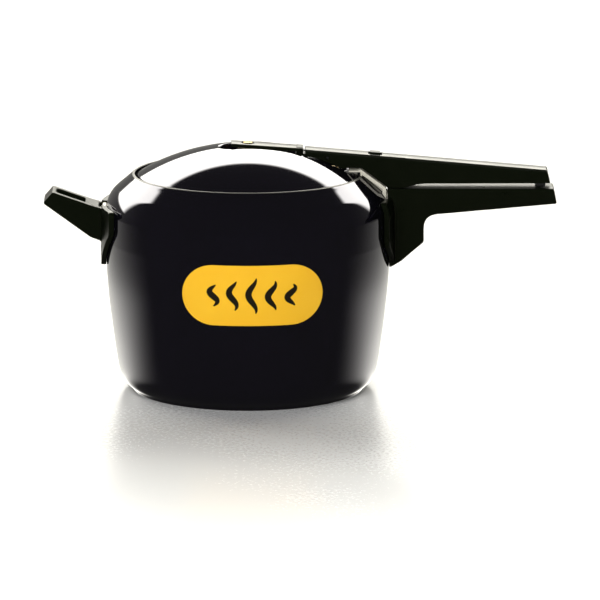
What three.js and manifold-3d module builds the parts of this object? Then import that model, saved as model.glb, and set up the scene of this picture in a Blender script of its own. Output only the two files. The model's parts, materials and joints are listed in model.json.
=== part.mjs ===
// Stovetop pressure cooker with an inside-fitting oval lid.
// Millimetres, +Z up, origin at the centre of the base, +X towards the two long handles.
import * as THREE from 'three';
import { mergeVertices } from 'three/addons/utils/BufferGeometryUtils.js';
import Module from 'manifold-3d';

const wasm = await Module();
wasm.setup();

// ---------- driving dimensions ----------
const SEGMENTS = 48; // facets round the pot and everything nested in it
const CLEAR = 0.3; // between pieces that touch
const RUN = 0.06; // radial clearance of a pin in its hole

const POT_RADIUS = 110.5; // outside, at the widest
const POT_HEIGHT = 170; // to the top of the rim
const POT_WALL = 3.25;
const BASE_THICK = 4.2;
const MOUTH_RADIUS = POT_RADIUS - 22.5; // the mouth's half-length along X
const MOUTH_RATIO = 0.909; // the mouth's width over its length
const SHOULDER_SLOPE = 0.86; // fall of the shoulder per mm outwards

const LID_WALL = 3;
const LID_GAP = 2; // lid to mouth
const LID_RADIUS = MOUTH_RADIUS - LID_GAP;
const DOME_RISE = 23.358; // of the lid's outer face above its edge
const DOME_RADIUS = (LID_RADIUS ** 2 + DOME_RISE ** 2) / (2 * DOME_RISE);
const DOME_TOP = POT_HEIGHT + 22.2;
const FLANGE_REACH = 6.5; // flange past the mouth
const FLANGE_THICK = 2.5;
const GASKET_THICK = 3.4;

const WELL_FLOOR = POT_HEIGHT + 1; // the channel pressed into the lid for the lever work
const WELL_FRONT = -22;

const WEIGHT_RADIUS = 8;
const KNOB_RADIUS = 3.8;
const TUBE_RADIUS = 3.2;
const TUBE_TOP = POT_HEIGHT + 9.6;
const TUBE_BORE = 1;

const FULCRUM = [MOUTH_RADIUS, POT_HEIGHT + 5]; // x, z of the ridge that the handle bar rocks on
const BAR_RISE = 7.6384; // from the ridge to the pot's axis
const HANDLE_SLOPE = BAR_RISE / FULCRUM[0]; // fall of the lid handle and its bar towards the rear
const BAR_THICK = 3;
const BAR_HALF = 6.5;
const BAR_END = POT_RADIUS + 39.5;
const PLATE = 1.5; // fork prongs and bracket ears
const TRUNNION_RADIUS = 2;
const PRONG_RADIUS = 4;
const FORK_INNER = WEIGHT_RADIUS + 0.6;
const FORK_OUTER = FORK_INNER + PLATE;
const EAR_INNER = FORK_OUTER + CLEAR;
const EAR_OUTER = EAR_INNER + PLATE;
const WELL_HALF = EAR_OUTER + 0.6;

const NOSE_X = [-13, MOUTH_RADIUS - 45];
const NOSE_TOP = POT_HEIGHT + 23.9; // at the pot's axis
const NOSE_SLOPE = 6.072 / MOUTH_RADIUS;
const NOSE_THICK = 3;
const WEIGHT_TOP = NOSE_TOP - NOSE_THICK - 1.3; // room for the nose to swing over the weight
const NOSE_HALF = 8;
const LEVER_PIVOT = [MOUTH_RADIUS - 26, POT_HEIGHT + 13.6];
const ARM_DROP = 4.75; // the lever's arm below the nose's top line
const ARM_THICK = 2.5;
const ARM_HALF = 6;
const PAD_X = [MOUTH_RADIUS + 7, MOUTH_RADIUS + 15];
const PAD_HALF = 4;
const PAD_PROUD = 1.6;

const LID_HANDLE_X = [MOUTH_RADIUS - 43.4, POT_RADIUS + 122];
const LID_HANDLE_TOP = POT_HEIGHT + 20; // at its front end
const LID_HANDLE_SKIN = 2.6;
const CHANNEL_HALF = BAR_HALF + 1;
const CHEEK_TOP_HALF = 7.2; // flat top
const CHEEK_HALF = 10; // under the chamfer
const CHEEK_FOOT_HALF = 12.2; // at the bottom
const HANDLE_GAP = 4.2; // daylight between the two long handles

const BODY_HANDLE_TOP = POT_HEIGHT - 10.6;
const BODY_HANDLE_END = POT_RADIUS + 130;
const PLATE_HALF = 33; // the mounting shield on the pot's wall
const SHIELD_THICK = 4;
const BRACKET_HALF = 14;
const BRACKET_EDGE = 3.6; // thickness of the saddle's two free edges
const STUD_X = POT_RADIUS + 117;
const STUD_HEAD = 4;

const HELPER_END = -POT_RADIUS - 49;
const HELPER_HALF = 14;
const HELPER_SHIELD_HALF = 40;

const LABEL_CENTRE = [4, POT_HEIGHT - 75];
const LABEL_LENGTH = 108;
const LABEL_HEIGHT = 47.7;
const LABEL_THICK = 0.4;
const LABEL_LIFT = 0.15;

// ---------- solids ----------
const v2 = (x, y) => new THREE.Vector2(x, y);

function welded(geometry) {
  const bare = geometry.index ? geometry.clone() : mergeVertices(geometry.clone());
  bare.deleteAttribute('normal');
  bare.deleteAttribute('uv');
  const joined = mergeVertices(bare, 1e-4);
  const index = [];
  const source = joined.index.array;
  for (let i = 0; i < source.length; i += 3) {
    const [a, b, c] = [source[i], source[i + 1], source[i + 2]];
    if (a !== b && b !== c && c !== a) index.push(a, b, c);
  }
  joined.setIndex(index);
  return joined;
}

function signedVolume(geometry) {
  const p = geometry.attributes.position;
  const t = geometry.index.array;
  const [a, b, c] = [new THREE.Vector3(), new THREE.Vector3(), new THREE.Vector3()];
  let sum = 0;
  for (let i = 0; i < t.length; i += 3) {
    a.fromBufferAttribute(p, t[i]);
    b.fromBufferAttribute(p, t[i + 1]);
    c.fromBufferAttribute(p, t[i + 2]);
    sum += a.dot(b.cross(c)) / 6;
  }
  return sum;
}

// A closed solid with its faces turned outwards.
function solid(geometry) {
  const clean = welded(geometry);
  if (signedVolume(clean) < 0) clean.setIndex(Array.from(clean.index.array).reverse());
  return new wasm.Manifold(
    new wasm.Mesh({
      numProp: 3,
      vertProperties: new Float32Array(clean.attributes.position.array),
      triVerts: new Uint32Array(clean.index.array),
    }),
  );
}

const unite = (first, ...rest) => rest.reduce((sum, s) => sum.add(s), first);
const cut = (first, ...rest) => rest.reduce((sum, s) => sum.subtract(s), first);

function lathe(profile, segments = SEGMENTS) {
  const points = profile.map(([r, z]) => v2(Math.max(r, 0), z));
  const geometry = new THREE.LatheGeometry(points, segments);
  geometry.rotateX(Math.PI / 2);
  return geometry;
}

const ring = (profile, segments = SEGMENTS) => lathe([...profile, profile[0]], segments);

// Outline in X and Z, from y0 to y1.
function slabXZ(outline, y0, y1) {
  const geometry = new THREE.ExtrudeGeometry(
    new THREE.Shape(outline.map(([x, z]) => v2(x, z))),
    { depth: y1 - y0, bevelEnabled: false },
  );
  geometry.rotateX(Math.PI / 2);
  geometry.translate(0, y1, 0);
  return geometry;
}

// Outline in X and Y, from z0 to z1.
function slabXY(outline, z0, z1) {
  const geometry = new THREE.ExtrudeGeometry(
    new THREE.Shape(outline.map(([x, y]) => v2(x, y))),
    { depth: z1 - z0, bevelEnabled: false },
  );
  geometry.translate(0, 0, z0);
  return geometry;
}

// Outline in Y and Z, from x0 to x1; its height follows a line of the given slope.
function slabYZ(outline, x0, x1, slope = 0) {
  const geometry = new THREE.ExtrudeGeometry(
    new THREE.Shape(outline.map(([y, z]) => v2(y, z))),
    { depth: x1 - x0, bevelEnabled: false },
  );
  const p = geometry.attributes.position;
  for (let i = 0; i < p.count; i += 1) {
    const [y, z, along] = [p.getX(i), p.getY(i), p.getZ(i)];
    p.setXYZ(i, x0 + along, y, z + slope * along);
  }
  return geometry;
}

function block([x0, x1], [y0, y1], [z0, z1]) {
  const geometry = new THREE.BoxGeometry(x1 - x0, y1 - y0, z1 - z0);
  geometry.translate((x0 + x1) / 2, (y0 + y1) / 2, (z0 + z1) / 2);
  return geometry;
}

function rodZ(radius, [x, y], [z0, z1], sides = 20) {
  const geometry = new THREE.CylinderGeometry(radius, radius, z1 - z0, sides);
  geometry.rotateX(Math.PI / 2);
  geometry.translate(x, y, (z0 + z1) / 2);
  return geometry;
}

function rodY(radius, [x, z], [y0, y1], sides = 20) {
  const geometry = new THREE.CylinderGeometry(radius, radius, y1 - y0, sides);
  geometry.translate(x, (y0 + y1) / 2, z);
  return geometry;
}

function rodX(radius, [y, z], [x0, x1], sides = 20) {
  const geometry = new THREE.CylinderGeometry(radius, radius, x1 - x0, sides);
  geometry.rotateZ(Math.PI / 2);
  geometry.translate((x0 + x1) / 2, y, z);
  return geometry;
}

// ---------- the oval mouth ----------
// The pot is round up to OVAL_FROM and oval above OVAL_TO; whatever nests in it follows.
const OVAL_FROM = POT_HEIGHT - 32;
const OVAL_TO = POT_HEIGHT - 13;

function widthAt(z) {
  const t = THREE.MathUtils.smoothstep(z, OVAL_FROM, OVAL_TO);
  return 1 - (1 - MOUTH_RATIO) * t;
}

function oval(geometry) {
  const p = geometry.attributes.position;
  for (let i = 0; i < p.count; i += 1) {
    p.setY(i, p.getY(i) * widthAt(p.getZ(i)));
  }
  return geometry;
}

// ---------- profiles of the pot, lid and gasket ----------
// Outside of the pot, from the foot to the rim: inset from the widest radius, and height.
const POT_OUTSIDE = [
  [20.3, 0], [19.9, 2], [18.4, 2.9], [16.1, 4.8], [13.6, 7.4], [11.8, 11], [9.8, 16],
  [8.5, 24], [6.6, 36.5], [5.2, 49], [2.9, 68],
  ...[
    [0.9, -83], [0.2, -66], [0, -46], [0, -32], [0.2, -26], [1.1, -22.4], [2.6, -19.6], [4.5, -17.1],
  ].map(([inset, drop]) => [inset, POT_HEIGHT + drop]),
];

const shoulderTop = (r) => POT_HEIGHT - 6.4 - SHOULDER_SLOPE * (r - MOUTH_RADIUS - 8.7);
const tilt = Math.hypot(1, SHOULDER_SLOPE);
const belowShoulder = (r, depth) => shoulderTop(r) - depth * tilt;

// The outside grown by an all-round allowance, closed across the mouth.
function potOutline(grow = 0) {
  const wall = POT_OUTSIDE.map(([inset, z]) => [POT_RADIUS - inset + grow, z]);
  const rim = [
    [POT_RADIUS - 8, shoulderTop(POT_RADIUS - 8) + grow * tilt],
    [MOUTH_RADIUS + 4.5, shoulderTop(MOUTH_RADIUS + 4.5) + grow * tilt],
    [MOUTH_RADIUS + 1, POT_HEIGHT + grow],
  ];
  return [[0, -grow], [wall[0][0], -grow], ...wall.slice(1), ...rim];
}

function potProfile() {
  const outer = potOutline();
  const inner = [
    [MOUTH_RADIUS, POT_HEIGHT - 0.7],
    [MOUTH_RADIUS, belowShoulder(MOUTH_RADIUS, POT_WALL)],
    [POT_RADIUS - 9.6, belowShoulder(POT_RADIUS - 9.6, POT_WALL)],
  ];
  const wall = POT_OUTSIDE.filter(([, z]) => z > 14 && z < POT_HEIGHT - 22).reverse();
  const inside = wall.map(([inset, z]) => [POT_RADIUS - inset - POT_WALL, z]);
  const corner = [
    [POT_RADIUS - 18.4, BASE_THICK + 4.6],
    [POT_RADIUS - 22.6, BASE_THICK + 1.3],
    [POT_RADIUS - 28, BASE_THICK],
    [0, BASE_THICK],
  ];
  return [...outer, ...inner, ...inside, ...corner];
}

const domeCentre = DOME_TOP - DOME_RADIUS;
const domeHeight = (r, radius = DOME_RADIUS) => domeCentre + Math.sqrt(radius ** 2 - r ** 2);
const FLANGE_RADIUS = MOUTH_RADIUS + FLANGE_REACH;
const FLANGE_DEPTH = POT_WALL + GASKET_THICK + 2 * CLEAR; // below the shoulder's top face
const DOME_STEPS = [0, 0.163, 0.326, 0.477, 0.616, 0.744, 0.86, 0.942].map((share) => share * LID_RADIUS);

function lidProfile() {
  const inner = DOME_RADIUS - LID_WALL;
  const foot = LID_RADIUS - LID_WALL;
  const thick = FLANGE_DEPTH + FLANGE_THICK;
  return [
    ...DOME_STEPS.map((r) => [r, domeHeight(r)]),
    [LID_RADIUS - 1, domeHeight(LID_RADIUS - 1)],
    [LID_RADIUS, domeHeight(LID_RADIUS) - 1],
    [LID_RADIUS, belowShoulder(LID_RADIUS, FLANGE_DEPTH)],
    [FLANGE_RADIUS, belowShoulder(FLANGE_RADIUS, FLANGE_DEPTH)],
    [FLANGE_RADIUS - 1.2, belowShoulder(FLANGE_RADIUS - 1.2, thick)],
    [foot, belowShoulder(foot, thick)],
    [foot, domeHeight(foot, inner)],
    ...DOME_STEPS.slice(0, -1).reverse().map((r) => [r, domeHeight(r, inner)]),
  ];
}

function gasketProfile() {
  const top = POT_WALL + CLEAR;
  const bottom = top + GASKET_THICK;
  const [inside, outside] = [MOUTH_RADIUS + 0.4, FLANGE_RADIUS + 0.3];
  const middle = (inside + outside) / 2;
  return [
    [inside, belowShoulder(inside, top + 0.4)],
    [middle, belowShoulder(middle, top)],
    [outside, belowShoulder(outside, top + 0.4)],
    [outside + 0.7, belowShoulder(outside + 0.7, (top + bottom) / 2)],
    [outside, belowShoulder(outside, bottom)],
    [inside, belowShoulder(inside, bottom)],
  ];
}

// ---------- heights along the lever work ----------
const handleTop = (x) => LID_HANDLE_TOP - HANDLE_SLOPE * (x - LID_HANDLE_X[0]);
const ceiling = (x) => handleTop(x) - LID_HANDLE_SKIN;
const barFloor = (x) => FULCRUM[1] + CLEAR - HANDLE_SLOPE * (x - FULCRUM[0]);
const barTop = (x) => barFloor(x) + BAR_THICK;
const noseTop = (x) => NOSE_TOP - NOSE_SLOPE * x;
const armTop = (x) => noseTop(x) - ARM_DROP;
const TRUNNION = [0, barFloor(0) + BAR_THICK / 2];
const BRACKET_RAMP = 0.735; // fall of the body bracket's top face
const bracketTop = (x) => FULCRUM[1] - BRACKET_RAMP * (x - FULCRUM[0]);

// Outlines on the handle side and on the helper side, drawn from the pot's widest point and its rim.
const near = (points) => points.map(([x, z]) => [POT_RADIUS + x, POT_HEIGHT + z]);
const far = (points) => points.map(([x, z]) => [-POT_RADIUS - x, POT_HEIGHT + z]);
const nearX = (x0, x1) => [POT_RADIUS + x0, POT_RADIUS + x1];
const farX = (x0, x1) => [-POT_RADIUS - x1, -POT_RADIUS - x0];
const fromRim = (z0, z1) => [POT_HEIGHT + z0, POT_HEIGHT + z1];
const line = (x0, x1, low, high) => [[x0, low(x0)], [x1, low(x1)], [x1, high(x1)], [x0, high(x0)]];
const mirrored = (half) => [...half, ...half.slice().reverse().map(([y, z]) => [-y, z])];

// ---------- pot and what is fixed to it ----------
const potGuard = solid(oval(lathe([...potOutline(CLEAR), [0, POT_HEIGHT + CLEAR]])));

function shell(thick) {
  return solid(oval(lathe([...potOutline(CLEAR + thick), [0, POT_HEIGHT + CLEAR + thick]])));
}

const BODY_RIVETS = fromRim(-44, -30); // heights of the rivets that hold each bracket
const HELPER_RIVETS = fromRim(-51, -31);
const RIVET_RADIUS = 2.5;
const wallAt = (z) => {
  const i = POT_OUTSIDE.findIndex(([, height]) => height > z);
  const [[a, za], [b, zb]] = [POT_OUTSIDE[i - 1], POT_OUTSIDE[i]];
  return POT_RADIUS - THREE.MathUtils.lerp(a, b, (z - za) / (zb - za));
};

function rivetHoles(side, z) {
  const reach = [side * (POT_RADIUS - 12), side * (POT_RADIUS + 12)].sort((a, b) => a - b);
  return solid(rodX(RIVET_RADIUS + RUN, [0, z], reach, 16));
}

function potBody() {
  const body = solid(oval(lathe(potProfile())));
  const holes = [...BODY_RIVETS.map((z) => rivetHoles(1, z)), ...HELPER_RIVETS.map((z) => rivetHoles(-1, z))];
  return cut(body, ...holes);
}

const BRACKET_THICK = 2.5;

// Rivet with its flat head inside the pot and its closed end on the bracket.
function rivet(side, z) {
  const inside = wallAt(z) - POT_WALL - 0.5;
  const outside = wallAt(z) + CLEAR + BRACKET_THICK + 0.9;
  const profile = [
    [0, inside - 1.6], [3.4, inside - 1.4], [4.6, inside - 0.6], [4.6, inside],
    [RIVET_RADIUS, inside], [RIVET_RADIUS, outside], [4, outside], [3.2, outside + 1.3],
    [0, outside + 1.5],
  ];
  const geometry = lathe(profile, 16);
  geometry.rotateY(side * Math.PI / 2);
  geometry.translate(0, 0, z);
  return solid(geometry);
}

const BODY_SCREW_Z = POT_HEIGHT - 54;

function bodyBracket() {
  const foot = FULCRUM[0] - 0.5;
  const saddle = slabXZ([
    [foot - 9, FULCRUM[1] - 2.2], [foot, FULCRUM[1] - 2.2], [foot, FULCRUM[1] - 9],
    ...near([[-14, -20], [-2.9, -20]]), [POT_RADIUS - 2.9, bracketTop(POT_RADIUS - 2.9)],
    [foot + 0.6, FULCRUM[1]], [foot, FULCRUM[1] - 0.5], [foot - 1.4, FULCRUM[1] - 0.8],
    [foot - 9, FULCRUM[1] - 1],
  ], -BRACKET_HALF, BRACKET_HALF);
  const strap = solid(block(nearX(-20.5, 7.5), [-9, 9], fromRim(-61, -14))).intersect(shell(BRACKET_THICK));
  const boss = solid(rodX(4.6, [0, BODY_SCREW_Z], nearX(-5.5, 10.5), 16));
  const screwHole = solid(rodX(1.6 + RUN, [0, BODY_SCREW_Z], nearX(1.5, 11.5), 16));
  const under = (x) => bracketTop(x) - BRACKET_EDGE;
  const relief = line(foot + 1.5, POT_RADIUS - 5.9, () => POT_HEIGHT - 30, under);
  const flanks = [BRACKET_HALF - 5, -BRACKET_HALF - 2].map((y) => solid(slabXZ(relief, y, y + 7)));
  const holes = BODY_RIVETS.map((z) => rivetHoles(1, z));
  return cut(unite(solid(saddle), strap, boss), potGuard, screwHole, ...flanks, ...holes);
}

function grip(outline, section, x0, x1, slope) {
  return solid(slabXZ(outline, -60, 60)).intersect(solid(slabYZ(section, x0, x1, slope)));
}

// A shield moulded to the pot's wall, broad at the top and pointed at the bottom.
function shield(side, half, top, shoulders, tip) {
  const outline = mirrored([[half - 4, top], [half, top - 4], [half, shoulders], [5, tip]]);
  const reach = side > 0 ? nearX(-25.5, 14.5) : farX(-25.5, 14.5);
  return solid(slabYZ(outline, ...reach)).intersect(shell(SHIELD_THICK));
}

function bodyHandle() {
  const top = BODY_HANDLE_TOP;
  const outline = [
    ...near([
      [-14.5, -73], [1, -73], [8.1, -69], [26.5, -53], [26.5, -42],
      [27.4, -37.4], [30.1, -33.8], [33.7, -31.7], [38.5, -30.8], [129.4, -23],
    ]),
    [BODY_HANDLE_END, POT_HEIGHT - 21.8], [BODY_HANDLE_END - 2.6, top - 0.6],
    [BODY_HANDLE_END - 3.6, top], [POT_RADIUS - 1.5, top], ...near([[-10.5, -20]]),
  ];
  const section = mirrored([[10.6, top + 0.1], [12.2, top - 1.6], [12.2, top - 18], [9, top - 69]]);
  const beam = grip(outline, section, POT_RADIUS - 20.5, BODY_HANDLE_END + 5, 0);
  const cuts = [
    potGuard,
    solid(block(nearX(-20.5, 7.5), [-9.4, 9.4], fromRim(-64, -13.6))).intersect(shell(BRACKET_THICK + 3.2)),
    solid(block(nearX(-20.5, -1.7), [-BRACKET_HALF - 0.4, BRACKET_HALF + 0.4], fromRim(-21, 6))),
    solid(rodX(4.9, [0, BODY_SCREW_Z], nearX(-10.5, 10.9), 16)),
    solid(rodX(1.9, [0, BODY_SCREW_Z], nearX(-0.5, 29.5), 16)),
    solid(rodX(4.2, [0, BODY_SCREW_Z], nearX(16.5, 29.5), 16)),
    solid(rodZ(2 + RUN, [STUD_X, 0], [top - 9, top + 1], 16)),
  ];
  return cut(unite(beam, shield(1, PLATE_HALF, ...fromRim(-18, -52), POT_HEIGHT - 73)), ...cuts);
}

function screwX(headRadius, shankRadius, headX, tipX, z) {
  const side = Math.sign(headX - tipX);
  const length = Math.abs(headX - tipX);
  const profile = [
    [0, 0], [shankRadius - 0.5, 0], [shankRadius, 0.8], [shankRadius, length - 2.6],
    [headRadius, length - 2.6], [headRadius, length - 0.8], [headRadius - 1, length], [0, length],
  ];
  const geometry = lathe(profile, 16);
  geometry.rotateY(side * Math.PI / 2);
  geometry.translate(tipX, 0, z);
  const slot = [headX - 1, headX + 1];
  return cut(solid(geometry), solid(block(slot, [-5, 5], [z - 0.5, z + 0.5])));
}

function catchStud() {
  const top = BODY_HANDLE_TOP;
  const geometry = lathe([
    [0, top - 8.4], [1.6, top - 8.4], [2, top - 7.8], [2, top + CLEAR], [3.4, top + CLEAR],
    [3.4, top + 1.5], [2.2, top + 2.3], [2.2, top + 5.4], [STUD_HEAD, top + 6.4],
    [STUD_HEAD, top + 8], [2.6, top + 9.2], [0, top + 9.2],
  ], 20);
  geometry.translate(STUD_X, 0, 0);
  return solid(geometry);
}

const HELPER_SCREW_Z = POT_HEIGHT - 41;

function helperBracket() {
  const strap = solid(block(farX(-20.5, 7.5), [-9, 9], fromRim(-56.5, -25))).intersect(shell(BRACKET_THICK));
  const boss = solid(rodX(4.4, [0, HELPER_SCREW_Z], farX(-5.5, 8), 16));
  const screwHole = solid(rodX(1.6 + RUN, [0, HELPER_SCREW_Z], farX(2.5, 11.5), 16));
  const holes = HELPER_RIVETS.map((z) => rivetHoles(-1, z));
  return cut(unite(strap, boss), potGuard, screwHole, ...holes);
}

function helperHandle() {
  const outline = [
    ...far([[-14.5, -26.5], [1.5, -26.5], [39.7, -13.1], [41.9, -13.2]]),
    [HELPER_END + 0.6, POT_HEIGHT - 20.6], [HELPER_END, POT_HEIGHT - 22.2],
    ...far([[11.2, -48.5], [-0.5, -53], [-14.5, -53]]),
  ];
  const section = mirrored([
    [HELPER_HALF - 1.6, POT_HEIGHT - 10], [HELPER_HALF, POT_HEIGHT - 11.6],
    [HELPER_HALF, POT_HEIGHT - 70], [HELPER_HALF - 2, POT_HEIGHT - 72],
  ]);
  const beam = grip(outline, section, HELPER_END - 5, -POT_RADIUS + 20.5, 0);
  const pocket = slabXZ(far([[38.5, -7], [38.5, -25.4], [16, -41], [16, -7]]), -8.5, 8.5);
  const cuts = [
    potGuard,
    solid(pocket),
    solid(block(farX(-20.5, 7.5), [-9.4, 9.4], fromRim(-57.5, -20))).intersect(shell(BRACKET_THICK + 3.2)),
    solid(rodX(4.7, [0, HELPER_SCREW_Z], farX(-10.5, 8.4), 16)),
    solid(rodX(1.9, [0, HELPER_SCREW_Z], farX(-0.5, 24.5), 16)),
    solid(rodX(4.1, [0, HELPER_SCREW_Z], farX(15, 23.5), 16)),
  ];
  return cut(unite(beam, shield(-1, HELPER_SHIELD_HALF, ...fromRim(-24, -42), POT_HEIGHT - 72)), ...cuts);
}

function label() {
  const [cx, cz] = LABEL_CENTRE;
  const r = LABEL_HEIGHT / 2;
  const straight = LABEL_LENGTH / 2 - r;
  const outline = [];
  for (const [side, start] of [[1, -Math.PI / 2], [-1, Math.PI / 2]]) {
    for (let i = 0; i <= 12; i += 1) {
      const a = start + (Math.PI * i) / 12;
      outline.push([cx + side * straight + r * Math.cos(a), cz + r * Math.sin(a)]);
    }
  }
  const band = POT_OUTSIDE.filter(([, z]) => z > 40 && z < POT_HEIGHT - 30);
  const back = band.map(([inset, z]) => [POT_RADIUS - inset + LABEL_LIFT, z]);
  const face = back.map(([radius, z]) => [radius + LABEL_THICK, z]).reverse();
  return solid(slabXZ(outline, -POT_RADIUS - 20, 0)).intersect(solid(ring([...back, ...face])));
}

// ---------- lid and what is fixed to it ----------
const VALVE_X = MOUTH_RADIUS - 23;
const THREAD_END = WELL_FLOOR - 12.5; // lower end of the vent tube and of the safety valve

function stadium(half, front, rear) {
  const outline = [[rear, -half], [rear, half]];
  for (let i = 0; i <= 12; i += 1) {
    const a = Math.PI / 2 + (Math.PI * i) / 12;
    outline.push([front + half + half * Math.cos(a), half * Math.sin(a)]);
  }
  return outline.reverse();
}

const tubeHole = (radius, x) => solid(rodZ(radius, [x, 0], [WELL_FLOOR - 16, WELL_FLOOR + 12]));

function lidPlate() {
  const dome = solid(oval(lathe(lidProfile())));
  const bulk = solid(oval(lathe([
    [0, POT_HEIGHT - 20], [LID_RADIUS - 1, POT_HEIGHT - 20],
    [LID_RADIUS - 1, domeHeight(LID_RADIUS - 1) - 0.6],
    ...DOME_STEPS.slice().reverse().map((r) => [r, domeHeight(r) - 0.6]),
  ])));
  const outer = stadium(WELL_HALF + LID_WALL, WELL_FRONT - LID_WALL, LID_RADIUS + 10);
  const wall = solid(slabXY(outer, WELL_FLOOR - LID_WALL, DOME_TOP + 5)).intersect(bulk);
  const well = solid(slabXY(stadium(WELL_HALF, WELL_FRONT, MOUTH_RADIUS + 22), WELL_FLOOR, DOME_TOP + 9));
  return cut(unite(dome, wall), well, tubeHole(4.2, 0), tubeHole(4.2, VALVE_X));
}

function lidBracket() {
  const base = block([-10, 10], [-EAR_OUTER, EAR_OUTER], [WELL_FLOOR + CLEAR, WELL_FLOOR + CLEAR + PLATE]);
  const ear = (y) => slabXZ(earOutline(), y, y + PLATE);
  const hole = solid(rodY(TRUNNION_RADIUS + RUN, TRUNNION, [-20, 20], 24));
  const body = unite(solid(base), solid(ear(EAR_INNER)), solid(ear(-EAR_OUTER)));
  return cut(body, hole, tubeHole(4.2, 0));
}

function earOutline() {
  const outline = [[-6, WELL_FLOOR + CLEAR], [6, WELL_FLOOR + CLEAR]];
  for (let i = 0; i <= 10; i += 1) {
    const a = (Math.PI * i) / 10;
    outline.push([PRONG_RADIUS * Math.cos(a), TRUNNION[1] + PRONG_RADIUS * Math.sin(a)]);
  }
  return outline;
}

// Plain turned tube with a collar above the floor and a thread below it.
function ventTube() {
  const collar = WELL_FLOOR + 2 * CLEAR + PLATE;
  return solid(ring([
    [TUBE_BORE, THREAD_END], [3.4, THREAD_END], [3.9, THREAD_END + 0.5], [3.9, collar], [5.6, collar],
    [5.6, collar + 2.2], [TUBE_RADIUS, collar + 2.8], [TUBE_RADIUS, TUBE_TOP - 1.2],
    [1.7, TUBE_TOP], [TUBE_BORE, TUBE_TOP],
  ], 20));
}

function washer(x) {
  const top = WELL_FLOOR - LID_WALL - CLEAR;
  const geometry = ring([[4.1, top - 1.5], [7.6, top - 1.5], [7.6, top], [4.1, top]], 24);
  geometry.translate(x, 0, 0);
  return solid(geometry);
}

function hexNut(x) {
  const top = WELL_FLOOR - LID_WALL - 2 * CLEAR - 1.5;
  const body = solid(rodZ(6.6, [x, 0], [top - 5, top], 6));
  return cut(body, tubeHole(4, x));
}

function ventWeight() {
  const skirt = WELL_FLOOR + 5.2;
  const seat = TUBE_TOP + 0.2;
  const knob = NOSE_TOP - 0.8;
  return solid(lathe([
    [0, seat], [TUBE_RADIUS + 0.7, seat], [TUBE_RADIUS + 0.7, skirt], [WEIGHT_RADIUS - 0.8, skirt],
    [WEIGHT_RADIUS, skirt + 0.8], [WEIGHT_RADIUS, WEIGHT_TOP - 1], [WEIGHT_RADIUS - 1, WEIGHT_TOP],
    [2, WEIGHT_TOP], [2, knob], [KNOB_RADIUS, knob], [KNOB_RADIUS, knob + 0.9],
    [KNOB_RADIUS - 0.6, knob + 1.4], [0, knob + 1.4],
  ], 28));
}

function safetyValve() {
  const geometry = ring([
    [2, THREAD_END], [3.4, THREAD_END], [3.9, THREAD_END + 0.5], [3.9, WELL_FLOOR + CLEAR],
    [6, WELL_FLOOR + CLEAR], [6, WELL_FLOOR + 2.4], [4.4, WELL_FLOOR + 4], [2, WELL_FLOOR + 4],
  ], 20);
  geometry.translate(VALVE_X, 0, 0);
  return solid(geometry);
}

function fusiblePlug() {
  return solid(rodZ(1.9, [VALVE_X, 0], [WELL_FLOOR - 10, WELL_FLOOR + 3.4], 16));
}

// ---------- handle bar, lid handle and release lever ----------
const BAR_SCREWS = nearX(9.5, 29.5);

function handleBar() {
  const strip = solid(slabXZ(line(15, BAR_END, barFloor, barTop), -BAR_HALF, BAR_HALF));
  const yoke = solid(slabXZ(line(15, 23, barFloor, barTop), -FORK_OUTER, FORK_OUTER));
  const prong = [[23, barFloor(23)], [23, barTop(23)], [10, barTop(10) + 1]];
  for (let i = 0; i <= 10; i += 1) {
    const a = Math.PI / 2 + (Math.PI * i) / 10;
    prong.push([PRONG_RADIUS * Math.cos(a), TRUNNION[1] + PRONG_RADIUS * Math.sin(a)]);
  }
  prong.push([10, barFloor(10) - 1]);
  const prongs = [FORK_INNER, -FORK_OUTER].map((y) => solid(slabXZ(prong, y, y + PLATE)));
  const pinHole = solid(rodY(TRUNNION_RADIUS + RUN, TRUNNION, [-20, 20], 24));
  const screws = BAR_SCREWS.map((x) => solid(rodZ(2 + RUN, [x, 0], fromRim(-20, 20), 16)));
  return cut(unite(strip, yoke, ...prongs), pinHole, ...screws);
}

function trunnionPin(side) {
  const [start, end] = [FORK_INNER - 0.2, EAR_OUTER + 0.4];
  const span = side > 0 ? [start, end] : [-end, -start];
  return solid(rodY(TRUNNION_RADIUS, TRUNNION, span, 24));
}

function lidHandleOutline() {
  const [front, rear] = LID_HANDLE_X;
  const low = BODY_HANDLE_TOP + HANDLE_GAP;
  const inChannel = [0, 5.4, 13.4, 21.4, 29.4].map((x) => [front + x, domeHeight(front + x) - 0.4]);
  const ramp = (x) => bracketTop(x) + 1;
  return [
    ...inChannel, [FULCRUM[0] - 9.5, FULCRUM[1] + 0.8],
    [FULCRUM[0] + 0.5, FULCRUM[1] + 0.8], [POT_RADIUS - 3.5, ramp(POT_RADIUS - 3.5)],
    [POT_RADIUS - 2.1, BODY_HANDLE_TOP + 0.9], [POT_RADIUS + 11.5, BODY_HANDLE_TOP + 0.8],
    [POT_RADIUS + 15.5, low - 2.2], [POT_RADIUS + 20.5, low - 0.7], [POT_RADIUS + 27.5, low],
    [rear + 2.2, low],
    [rear + 2.5, low + 0.8], [rear + 0.4, handleTop(rear) - 0.8], [rear - 0.5, handleTop(rear)],
    [front, handleTop(front)],
  ];
}

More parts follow.
